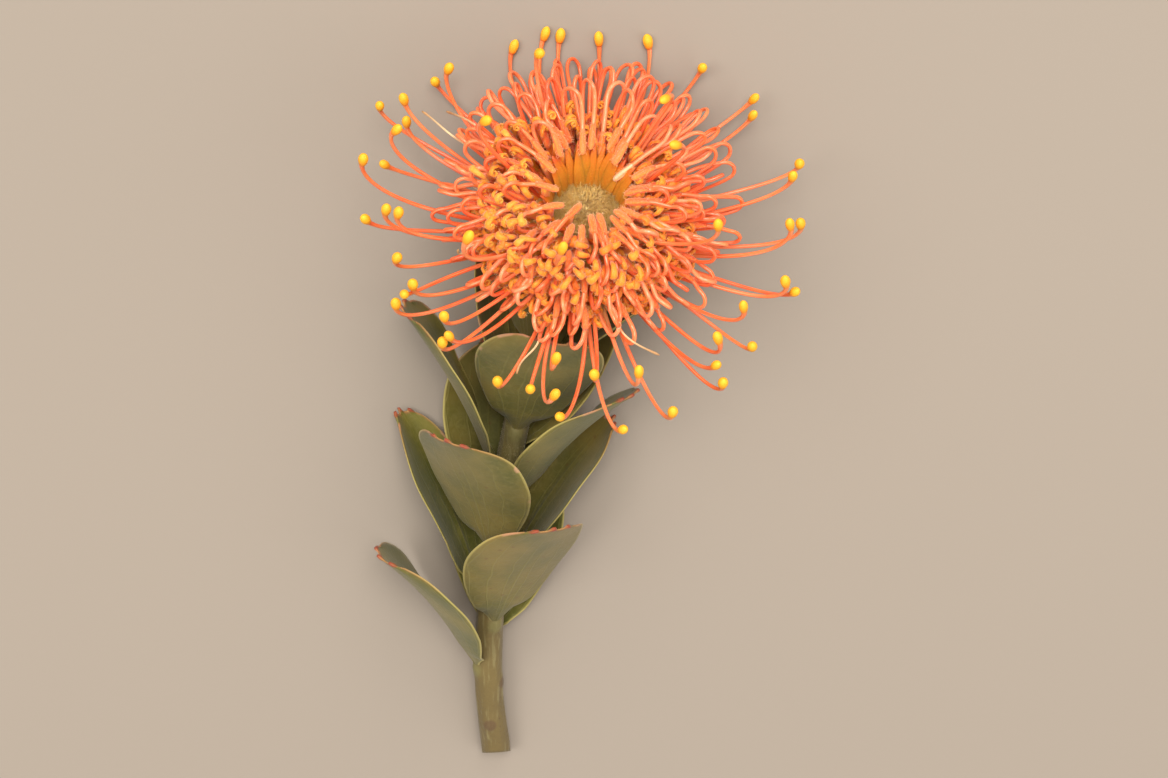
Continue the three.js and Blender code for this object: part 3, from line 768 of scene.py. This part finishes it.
upper_r, upper_h = on_bend(0, -1)
lower_r, lower_h = on_bend(0, 1)
bend_angles = np.radians([-90, -45, 0, 45, 90])
deep, wide = np.cos(bend_angles), np.sin(bend_angles)
bend = head_point(*on_bend(deep, wide), turn, lean * (0.8 + 0.2 * deep) - spread * wide)
controls = np.concatenate([
    head_point(limb_r, limb_h, turn),
    head_point(mix(limb_r, upper_r, 0.5) + 1.2 * out_r, mix(limb_h, upper_h, 0.5) + 1.4, turn,
               0.6 * spread + 0.3 * lean),
    bend,
    head_point(mix(lower_r, root_r, 0.45), mix(lower_h, root_h, 0.45) - 1, turn,
               0.3 * lean - spread),
    head_point(root_r, root_h, turn, -spread * 1.6),
], 1)
length = smooth_lines(controls, [1.0])[1]
chords = np.linalg.norm(np.diff(controls, axis=1), axis=-1)
bend_at = chords[:, :4].sum(1, keepdims=True) / chords.sum(1, keepdims=True) * length
# points stand close together through the bend, and wider apart before and after it
stops = np.concatenate([
    mix(0.7 * LIMB_LENGTH, bend_at - BEND_REACH, np.linspace(0, 1, 10)),
    mix(bend_at - BEND_REACH, bend_at + BEND_REACH, np.linspace(0, 1, 15)[1:]),
    mix(bend_at + BEND_REACH, length, np.linspace(0, 1, 11)[1:]),
], 1)
radii = np.interp(stops, [4.5, 9.0, 14, 30, 70], [0.55, 0.65, 0.6, 0.54, 0.7])
bars("head_unsprung_styles", STYLE, smooth_lines(controls, stops / length, 400)[0],
     radii * draw(i, 24, 0.92, 1.06), sideways(turn), 8,
     along=stops / length, tone=tone, round=STYLE_ROUND, pale=0.0)

# the four fused parts of each closed end make a blunt club with low ribs, fine hairs all over it
radii = LIMB_RADII * draw(i, 25, 0.9, 1.08)
seam = 0.5 - 0.5 * np.cos(np.arange(16) / 16 * 8 * np.pi)
limbs = bars("head_closed_limbs", LIMB, smooth_lines(controls, LIMB_STOPS / length, 400)[0],
             radii, sideways(turn), 16, lobes=0.05,
             along=LIMB_STOPS / LIMB_STOPS[-1], tone=tone, seam=seam[None, None])
down("head_limb_down", DOWN, limbs, radii, sideways(turn), HAIRS_A_LIMB, (0.1, 1.0), 0.9, 101)

# the tube beside each hairpin: from the receptacle to under the blunt tip
knee = 0.6 * LIMB_LENGTH / np.hypot(bend_r - limb_r, bend_h - limb_h)
knee_r = mix(limb_r, bend_r, knee)
knee_h = mix(limb_h, bend_h, knee) + 0.2
controls = np.concatenate([
    head_point(root_r, root_h - 1, turn, spread * 1.1),
    head_point(mix(root_r, knee_r, 0.35), mix(root_h, knee_h, 0.25), turn, spread * 1.3),
    head_point(mix(root_r, knee_r, 0.75), mix(root_h, knee_h, 0.65), turn, spread),
    head_point(knee_r, knee_h, turn, spread * 0.2),
], 1)
stops = np.linspace(0, 1, 9)
radii = np.interp(stops, [0, 0.3, 0.7, 0.9, 1], [1.0, 1.15, 1.25, 1.05, 0.5])
bars("head_floret_tubes", PERIANTH, smooth_lines(controls, stops)[0], radii, sideways(turn), 6,
     along=stops, tone=draw(i, 9))


# Bowl wall
# The innermost florets' tubes stand side by side round the felted bowl and turn their flat golden
# inner faces to it. They are olive at the foot and red at the top, where they lean outwards, and
# both ends are darkened as painted shade, in the bowl's floor and under the closed tips.
WALL_COUNT = 32
WALL_STOPS = [0, 0.5, 0.75, 0.92, 1]
WALL_HALF_WIDTHS = [1.5, 1.75, 1.3, 0.7, 0.25]
WALL_HALF_THICKNESSES = [0.34, 0.4, 0.4, 0.32, 0.12]

WALL = plain_finish(
    "golden_bowl_wall", (300, 1900, 900),
    # the darker olive foot and darker red top are partly painted shade: in the bowl's floor and under
    # the closed tips
    [(0, "9b7425"), (0.3, "c07e1e"), (0.6, "d1841e"), (0.8, "d37214"), (0.93, "c04413"),
     (1, "aa3013")],
    [("tone", 0.3, 1.0, 0.6, "cc7213"), ("Tone", 0.3, "b97219"),
     ("Grain", 0.5, 0.72, 0.35, "de993b")],
    rough=0.6, under=(0.4, 0.0015, (1.0, 0.5, 0.1)), bump=(0.4, 0.0003))

i = np.arange(WALL_COUNT)[:, None]
turn = i / WALL_COUNT * 2 * np.pi + jitter(i, 51, 0.12)
stops = np.linspace(0, 1, 12)
# the wall is nearer, higher and more open on the bowl's upper side
foot_r = 8.9 - 2.4 * smooth(np.sin(turn), 0.0, 1.0) + jitter(i, 52, 1.3)
top_r = 11.2 + jitter(i, 55, 0.8) + 1.0 * smooth(np.sin(turn), 0.0, 1.0)
height = 7.0 + 6.6 * smooth(np.sin(turn), -0.5, 0.5) + 3.0 * draw(i, 53)
lines = head_point(mix(foot_r, top_r, stops ** 1.2) + 1.6 * stops ** 6, 17.5 + height * stops,
                   turn, jitter(i, 56, 1.4) * stops ** 2)
wide = np.interp(stops, WALL_STOPS, WALL_HALF_WIDTHS) * draw(i, 57, 0.85, 1.1)
thick = np.interp(stops, WALL_STOPS, WALL_HALF_THICKNESSES)
bars("head_bowl_wall", WALL, lines, (wide, thick), sideways(turn), 12,
     along=stops, tone=draw(i, 54))


# Rolled tepals
# Where a floret has opened, the parts of its tube split, roll back and stay as short thick
# golden-orange curls. They fill the dome between the hairpins, with fine hairs on them.
CURL_COUNT = 640
CURL_STEPS = np.array([0, 0.2, 0.36, 0.47, 0.56, 0.64, 0.72, 0.8, 0.88, 0.95, 1])
CURL_HALF_WIDTHS = np.array([0.6, 0.7, 0.85, 0.95, 1.0, 1.02, 1.0, 0.94, 0.8, 0.55, 0.2])
CURL_HALF_THICKNESSES = np.array([0.5, 0.46, 0.42, 0.38, 0.36, 0.34, 0.33, 0.32, 0.28, 0.2, 0.08])
HAIRS_A_CURL = 12

i, share, turn = spiral(CURL_COUNT, 0.8)
angle = np.radians(mix(22, 88, share)) + jitter(i, 61, 0.16)
turn = turn + 0.4 + jitter(i, 62, 0.2)
out_r, out_h = np.sin(angle), np.cos(angle)
# they stand highest half way down the dome, and more so on its left side
shallow = smooth(angle, 0.3, 0.6) * (1 - smooth(angle, 0.68, 1.05))
shallow = shallow * (0.85 - 0.35 * np.cos(turn))
depth = draw(i, 63, 0.52, 0.7) + 0.26 * shallow
start_r = (DOME_RADIUS - 2) * out_r * depth + 2.0
start_h = DOME_CENTRE + DOME_HEIGHT * out_h * depth - 1
# a strap that stands out of the dome, then rolls up: its heading leaves the outward direction
# slowly at first and fast at the end, in a plane that is turned by yaw about that direction
hops = np.diff(CURL_STEPS, prepend=0) * draw(i, 64, 8.5, 12.0)
heading = (np.radians(draw(i, 65, -25, 10))
           + np.radians(draw(i, 66, 420, 640)) * CURL_STEPS ** 2.2)
raised = np.cumsum(np.cos(heading) * hops, 1)
rolled = np.cumsum(np.sin(heading) * hops, 1)
yaw = jitter(i, 67, 3.6)
r = start_r + raised * out_r + rolled * np.cos(yaw) * out_h
h = start_h + raised * out_h - rolled * np.cos(yaw) * out_r
lines = head_point(np.maximum(r, 4), h, turn, rolled * np.sin(yaw))
down_dome = outwards(turn) * out_h[..., None] - HEAD_AXIS * out_r[..., None]
width_way = sideways(turn) * np.cos(yaw)[..., None] - down_dome * np.sin(yaw)[..., None]
radii = (CURL_HALF_WIDTHS * draw(i, 68, 0.8, 1.15), CURL_HALF_THICKNESSES)
# the tone is palest on the rolled end, partly their own yellow and partly a painted highlight, and a
# little redder on the right side: the paler left side is painted light
tone = (mix(draw(i, 69) * 0.8, 1.0, smooth(CURL_STEPS, 0.4, 1.0) * 0.7)
        * mix(0.74, 1.0, smooth(-np.cos(turn), -0.2, 0.6)))
curls = bars("head_rolled_tepals", PERIANTH, lines, radii, width_way, 6,
             along=0.45 + 0.55 * CURL_STEPS, tone=tone)
down("head_tepal_down", DOWN, curls, radii, width_way, HAIRS_A_CURL, (0.1, 0.85), 1.0, 111)


# Opened tubes
# Below the curls the lower parts of the opened florets' tubes stand close together over the
# receptacle. They are the same downy tissue, grown from the receptacle's skin.
OPENED_COUNT = 420

i, share, turn = spiral(OPENED_COUNT, 0.8)
angle = np.radians(mix(30, 100, share))
turn = turn + 1.1
stops = np.array([0, 0.4, 0.75, 0.93, 1])
reach = draw(i, 71, 0.5, 0.66) + 0.1 * smooth(share, 0.5, 1.0)
end_r = DOME_RADIUS * np.sin(angle) * reach
end_h = DOME_CENTRE + DOME_HEIGHT * np.cos(angle) * reach - 2
lines = head_point(mix(10 + 3 * share, end_r, stops), mix(20 - 17 * share, end_h, stops ** 0.8),
                   turn, jitter(i, 72, 3) * stops)
radii = np.interp(stops, [0, 0.5, 0.8, 1], [1.1, 1.2, 1.0, 0.25])
bars("head_opened_tubes", PERIANTH, lines, radii, sideways(turn), 5,
     along=0.3 + 0.6 * stops, tone=draw(i, 73) * 0.6)


# Sprung styles
# Freed styles run out low from the head, rise slowly and hook in at the tip, where a golden knob
# of pollen sits. Most stand in a ring round the foot of the dome, a few among the hairpins.
RING_COUNT = 29
INNER_COUNT = 7
EXTRA_COUNT = 17
SPRUNG_LENGTH = 57
KNOB_STOPS = np.array([-2.0, -1.6, -0.9, -0.1, 0.7, 1.3, 1.8, 2.15, 2.3])
KNOB_RADII = np.array([0.7, 0.96, 1.16, 1.3, 1.3, 1.14, 0.84, 0.46, 0.12])

# pollen: golden yellow, finely granular, deeper orange at the foot of the knob
POLLEN = plain_finish(
    "golden_pollen_knob", (700, 4200, 2600),
    [(0, "ea6a2a"), (0.22, "f0921a"), (0.45, "f6ae18"), (1, "fbbf28")],
    [("Tone", 0.35, "ee9410"), ("Specks", 0.7, "ffe27a")],
    rough=0.6, under=(0.1, 0.001, (1.0, 0.2, 0.1)), bump=(0.6, 0.00025))


def sprung_lines(turn, root_r, root_h, first, rise, curl, sway, length):
    """Styles in 40 equal steps: the heading turns by rise along each, and by curl at its tip."""
    s = np.linspace(0, 1, 41)
    heading = np.radians(first + rise * s + curl * s ** 7)
    hop = length / 40

    def gone(part):
        return np.concatenate([0 * hop, np.cumsum(part(heading) * hop, 1)[:, :-1]], 1)

    return head_point(root_r + gone(np.cos), root_h + gone(np.sin), turn + sway * s ** 2)


# the ring, the few among the hairpins, and more in the ring on its left and lower sides
i = np.arange(RING_COUNT + INNER_COUNT + EXTRA_COUNT)[:, None]
extra = i >= RING_COUNT + INNER_COUNT
inner = (i >= RING_COUNT) & ~extra
number = np.where(extra, i - RING_COUNT - INNER_COUNT, np.where(inner, i - RING_COUNT, i))
of_these = np.where(extra, EXTRA_COUNT, np.where(inner, INNER_COUNT, RING_COUNT))
turn = (number + jitter(i, 11, 0.9)) / of_these * 2 * np.pi
turn = np.where(extra, mix(0.8, 1.95, turn / (2 * np.pi)) * np.pi, turn)
most_forward = mix(20, -6, np.maximum(0, np.sin(turn)))
controls = sprung_lines(
    turn,
    root_r=np.where(inner, 7.5, 8.5),
    root_h=np.where(inner, 12, 3 + 4.5 * draw(i, 12)),
    first=np.where(inner, draw(i, 13, 36, 60), draw(i, 13, -12, most_forward)),
    rise=np.where(inner, 4, draw(i, 14, 14, 26)),
    curl=draw(i, 15, 55, 115),
    sway=draw(i, 16, -0.16, 0.16),
    length=SPRUNG_LENGTH * np.where(inner, draw(i, 17, 0.8, 0.95), draw(i, 17, 0.9, 1.1)),
)
length = smooth_lines(controls, [1.0])[1]
stops = mix(0, length, np.linspace(0, 1, 40))
from_tip = length - stops
radii = np.interp(from_tip, [0, 1.2, 2.6, 5, 12, 60], [0.8, 0.88, 0.74, 0.55, 0.52, 0.74])
along = 1 - stops / length
lines = bars("head_sprung_styles", STYLE, smooth_lines(controls, stops / length)[0], radii,
             sideways(turn), 8, along=along, tone=0.75 * draw(i, 18), round=STYLE_ROUND,
             pale=0.8 * smooth(along, 0.4, 0.8) * (draw(i, 19) > 0.3))

# each knob stands on its style's tip, points on along it and keeps clear of the table
pointing = unit(lines[:, -1] - lines[:, -3])
knobs = lines[:, -1:] + pointing[:, None] * KNOB_STOPS[:, None]
radii = KNOB_RADII * draw(i, 20, 0.92, 1.08)
knobs[..., 2] = np.maximum(knobs[..., 2], radii.max(1, keepdims=True) + TABLE_GAP)
bars("head_pollen_knobs", POLLEN, knobs, radii, sideways(turn), 12,
     along=np.linspace(0, 1, len(KNOB_STOPS)))


# Withered styles
# A few dry ones stay among the ring, thin and crooked, with a shrunken end. They are cream and
# pale brown, and still hang on by their foot.
WITHERED_TURNS = np.array([0.78, 0.84, 1.13, 1.42, 1.58]) * np.pi

WITHERED = plain_finish(
    "withered_cream_style", (300, 2000, 900),
    [(0, "d98a54"), (0.35, "dcae7c"), (0.8, "ecd2a4"), (1, "9a6c40")],
    [("Tone", 0.5, "c89a68")],
    rough=0.75, bump=(0.5, 0.0003))

turn = WITHERED_TURNS[:, None]
i = np.arange(len(turn))[:, None]
lines = sprung_lines(
    turn,
    root_r=9.0,
    root_h=3 + 9 * draw(i, 91),
    first=draw(i, 92, 2, 26),
    rise=draw(i, 93, 10, 30),
    curl=draw(i, 94, -60, 60),
    sway=draw(i, 95, -0.3, 0.3),
    length=draw(i, 96, 40, 47),
)
stops = np.linspace(0, 1, 41)
crook = 0.9 * np.sin(stops * draw(i, 97, 9, 16) + 6 * draw(i, 98)) * stops
radii = np.interp(stops, [0, 0.5, 0.94, 0.97, 1], [0.5, 0.34, 0.26, 0.42, 0.2])
bars("head_withered_styles", WITHERED, lines + sideways(turn) * crook[..., None], radii,
     sideways(turn), 6, along=stops)


# Leaves
# Thick leathery blades, grey-green with a faint bloom, seated straight on the stem in a spiral.
# Each has a thin pale margin and a blunt end with a few small red-tipped glands.
LEAF_LENGTH = 57
LEAF_HALF_WIDTH = 17.5
LEAF_HALF_THICKNESS = 0.34
WIDEST_AT = 0.58
# how far each blade's underside is lifted clear of the leaves below it
LEAF_LIFTS = [0, 0, 0, 1.5, 1.1, 0, 0.6, 0, 3.6, 1.3, 0, 3.2, 5.3, 0, 4.6]
PRESSED_SLACK = 2.5
LEAF_ROWS = 60
LEAF_COLUMNS = 41
TOOTH_PLACES = np.array([-0.62, 0.0, 0.6])
TOOTH_HEIGHTS = np.array([0.026, 0.036, 0.026])

stem_samples = stem_place(np.linspace(0, 1, 201))


def leaf_finish(number):
    """Blade: grey olive, slow tone changes, pale veins and margin, red glands, small blemishes."""
    material, tree, where, look = new_finish(f"grey_green_leaf_{number:02d}", 55, 900, 260)
    side = mark_value(tree, "side")
    share = mark_value(tree, "share")
    edge = mark_value(tree, "edge")
    wobble = noise(tree, where, 120.0, 1.0)
    # long veins are thin lines of a zigzag wave across the blade, and a fine net joins them
    shifted = sums(tree, "MULTIPLY_ADD", wobble, 0.16, side)
    wave = sums(tree, "PINGPONG", sums(tree, "MULTIPLY_ADD", shifted, 2.7, 0.28), 0.5)
    net = place(tree, "ShaderNodeTexVoronoi", {"Vector": where, "Scale": 330.0},
                feature="DISTANCE_TO_EDGE").outputs["Distance"]
    veins = sums(tree, "MAXIMUM", between(tree, wave, 0.0, 0.07, 1.0, 0.0),
                 between(tree, net, 0.0, 0.12, 0.25, 0.0))
    midrib = between(tree, sums(tree, "ABSOLUTE", side), 0.0, 0.035, 1.0, 0.0)
    fade = between(tree, share, 0.1, 0.95, 1.0, 0.25)
    veins = sums(tree, "MULTIPLY", sums(tree, "MAXIMUM", veins, midrib), fade)
    # dry spots lie near the margin of the outer half, and a red blush near the end
    dry = sums(tree, "MULTIPLY", between(tree, edge, 0.5, 1.3, 0.8, 0.0),
               between(tree, wobble, 0.58, 0.66))
    dry = sums(tree, "MULTIPLY", dry, between(tree, share, 0.25, 0.5))
    blush = sums(tree, "MULTIPLY", between(tree, edge, 0.0, 1.6, 0.55, 0.0),
                 between(tree, share, 0.72, 1.0))
    fresh = draw(number, 85)
    darker = mix(np.array(colour("58521f")), np.array(colour("4a5118")), fresh)
    lighter = mix(np.array(colour("7a662e")), np.array(colour("6d6825")), fresh)
    base = coated(tree, look, blended(tree, look["Tone"], tuple(darker), tuple(lighter)), [
        ("Grain", 0.4, 0.75, 0.3, "7c723d"),
        (veins, 0.3, "908946"),
        ("Specks", 0.5, "63451d"),
        (edge, 0.75, 0.15, 0.85, "a89a56"),
        (dry, 1, "ba8f6c"),
        (blush, 1, "994a30"),
        ("gland", 0.85, "8a2f1b"),
    ])
    rough = between(tree, look["Grain"], 0.3, 0.7, 0.5, 0.66)
    height = sums(tree, "MULTIPLY_ADD", look["Grain"], 0.25, sums(tree, "MULTIPLY", veins, 0.8))
    return finished(material, base, rough, sheen=0.12, specular=0.4, bump=(height, 0.45, 0.0004))


def leaf_width(share):
    """Half width along the leaf: a power of a sine from the narrow foot, then a blunt falling power."""
    rising = 0.2 + 0.8 * np.sin(np.pi / 2 * np.minimum(share / WIDEST_AT, 1)) ** 0.9
    rising = rising * (0.4 + 0.6 * smooth(share, -0.02, 0.15))
    falling = 1 - 0.56 * np.maximum((share - WIDEST_AT) / (1 - WIDEST_AT), 0) ** 2.4
    return np.where(share < WIDEST_AT, rising, falling)


def leaf_end(side, number):
    """How far the end reaches at each place across: a low arch with three small teeth."""
    reach = -0.012 - 0.045 * np.abs(side) ** 2.6
    i = number * 7 + np.arange(3)
    centres = TOOTH_PLACES + jitter(i, 81, 0.1)
    for centre, height in zip(centres, TOOTH_HEIGHTS * draw(i, 82, 0.6, 1.15)):
        reach = reach + height * np.exp(-((side - centre) / 0.13) ** 4)
    return reach, centres


def leaf_blade(number):
    """The middle surface of a leaf, its half thickness and its marks.

    Along the leaf the heading opens evenly, so forward and away are integrals of an arc. Across,
    the blade cups by the square of the place across and waves a little. Near the foot it wraps
    round the stem. Below the stem it is pressed towards the table.
    """
    at = leaf_shares[number]
    turn = leaf_turns[number]
    downwards = max(0.0, -np.sin(turn))
    upper = smooth(number / (LEAF_COUNT - 1), 0.62, 1)
    first = np.radians(mix(24, 16, downwards))
    opening = np.radians(mix(44, 26, downwards) + 9 * upper) - first
    length = LEAF_LENGTH * (0.95 + 0.1 * draw(number, 21)) * mix(1, 0.64, upper)
    widest = LEAF_HALF_WIDTH * (0.94 + 0.12 * draw(number, 22)) * mix(1, 0.74, upper)
    wave = draw(number, 23) * 2 * np.pi
    along, right, up = (axis[0] for axis in stem_axes(np.array([at])))
    out = right * np.cos(turn) + up * np.sin(turn)
    across = np.cross(along, out)
    # rows stand closer at the foot and the end, and columns closer at the margins
    plain = (1 - np.cos(np.linspace(0, np.pi, LEAF_ROWS)))[:, None] / 2
    plain = mix(plain, np.linspace(0, 1, LEAF_ROWS)[:, None], 0.5)
    side = np.sin(np.linspace(-1, 1, LEAF_COLUMNS) * np.pi / 2)[None]
    side = mix(side, np.linspace(-1, 1, LEAF_COLUMNS)[None], 0.6)
    end, teeth = leaf_end(side, number)
    share = plain + end * plain ** 5
    angle = first + opening * share
    forward = length / opening * (np.sin(angle) - np.sin(first))
    away = length / opening * (np.cos(first) - np.cos(angle))
    half = widest * leaf_width(plain)
    ripple = np.sin(wave + share * 7) * 0.7 + 0.35 * np.sin(wave * 2 + share * 17 + side)
    cup = half * side ** 2 * 0.24 + ripple * side ** 2 * share
    stem_r = stem_radius(at)
    seat = 1 - smooth(plain, 0.0, 0.16)
    wrap = stem_r - np.sqrt(np.maximum(stem_r ** 2 - (half * side * 0.95) ** 2, 0.3))
    groove = -0.35 * np.exp(-(side / 0.09) ** 2) * (1 - share) * smooth(plain, 0.05, 0.2)
    outward = stem_r + 0.8 - 0.9 * seat + away - cup * np.cos(angle) * np.minimum(1, plain * 3)
    outward = outward - wrap * seat * 0.8 + groove
    middle = (stem_place(at)[0] + along * (forward + cup * np.sin(angle))[..., None]
              + out * outward[..., None] + across * (half * side)[..., None])
    # what lies below the stem is squeezed into the room between the stem and the floor
    floor = 0.45 + LEAF_LIFTS[number]
    top = np.maximum(np.interp(middle[..., 1], stem_samples[:, 1], stem_samples[:, 2])
                     - STEM_RADIUS_AT_CUT, floor)
    below = top - middle[..., 2]
    room = top - floor + PRESSED_SLACK
    pressed = top - room * (1 - np.exp(-np.maximum(below, 0) / room))
    middle[..., 2] = np.maximum(np.where(below > 0, pressed, middle[..., 2]), floor)
    to_end = (1 - plain) * length
    edge = np.minimum((1 - np.abs(side)) * half, to_end)
    gland = np.zeros_like(share)
    for tooth in teeth:
        gap = np.hypot((side - tooth) * half, to_end - 0.4)
        gland = np.maximum(gland, 1 - smooth(gap, 0.5, 1.3))
    rib = np.exp(-(side / 0.05) ** 2) * (1 - share) * 0.2
    thick = (LEAF_HALF_THICKNESS + rib) * (0.3 + 0.7 * smooth(edge, 0, 1.1)) + 0.28 * gland
    return middle[None], thick[None], {"side": side, "share": share, "edge": edge, "gland": gland}


for number in range(LEAF_COUNT):
    middle, thick, marks = leaf_blade(number)
    sheets(f"leaf_blade_{number + 1:02d}", f"leaf_{number + 1:02d}", leaf_finish(number + 1),
           middle, thick, **marks)


# Table, light and camera
# A plain pale warm-grey table under soft daylight. The camera looks down on the lying flower,
# a little from its head end, so that the head faces it as in the photograph.
TABLE_HALF = 3.0
CAMERA_DISTANCE = 0.77
CAMERA_TILT = np.radians(22)
CAMERA_AIM = Vector((0.0, 0.0152, 0.03))


def table_finish():
    """Table: pale warm grey with a very slight mottle."""
    material, tree, where, look = new_finish("pale_warm_table", 3, 300, 40)
    return finished(material, coated(tree, look, colour("92887d"), [("Tone", 0.12, "887e74")]), 0.85)


table = bpy.data.meshes.new("table")
square = [(-1, -1), (1, -1), (1, 1), (-1, 1)]
table.from_pydata([(x * TABLE_HALF, y * TABLE_HALF, 0) for x, y in square], [], [(0, 1, 2, 3)])
table.materials.append(table_finish())
table_top = add_object("table", table)


def area_light(name, location, target, size, watts, tint):
    """A square soft light that faces its target."""
    light = bpy.data.lights.new(name, "AREA")
    light.size = size
    light.energy = watts
    light.color = tint
    lamp = add_object(name, light)
    lamp.location = location
    facing = Vector(target) - Vector(location)
    lamp.rotation_euler = facing.to_track_quat("-Z", "Y").to_euler()


area_light("key", (-2.2, 1.4, 4.0), (0, 0.03, 0.02), 2.4, 112, (1.0, 0.96, 0.9))
area_light("front", (0.24, 1.68, 2.88), (0, 0.04, 0.03), 1.4, 90, (1.0, 0.95, 0.88))
area_light("fill", (3.2, -1.2, 2.8), (0, 0, 0.03), 3.6, 57, (1.0, 0.95, 0.9))
area_light("rim", (0.8, 3.6, 2.0), (0, 0.05, 0.04), 2.0, 55, (1.0, 0.94, 0.88))
world = bpy.data.worlds.new("soft_room")
world.use_nodes = True
fill(world.node_tree, world.node_tree.nodes["Background"],
     {"Color": (1.0, 0.95, 0.89, 1.0), "Strength": 0.62})
bpy.context.scene.world = world
bpy.context.scene.view_settings.view_transform = "Standard"

lens = bpy.data.cameras.new("camera")
lens.lens = 85
lens.sensor_width = 36
lens.clip_start = 0.01
lens.clip_end = 20
camera = add_object("camera", lens)
# the camera's own axes: right is +X, and up in the picture is the flower's own way up, +Y
cos, sin = np.cos(CAMERA_TILT), np.sin(CAMERA_TILT)
axes = Matrix(((1, 0, 0), (0, cos, sin), (0, -sin, cos)))
back = axes @ Vector((0, 0, CAMERA_DISTANCE))
camera.matrix_world = Matrix.Translation(CAMERA_AIM + back) @ axes.to_4x4()
bpy.context.scene.camera = camera
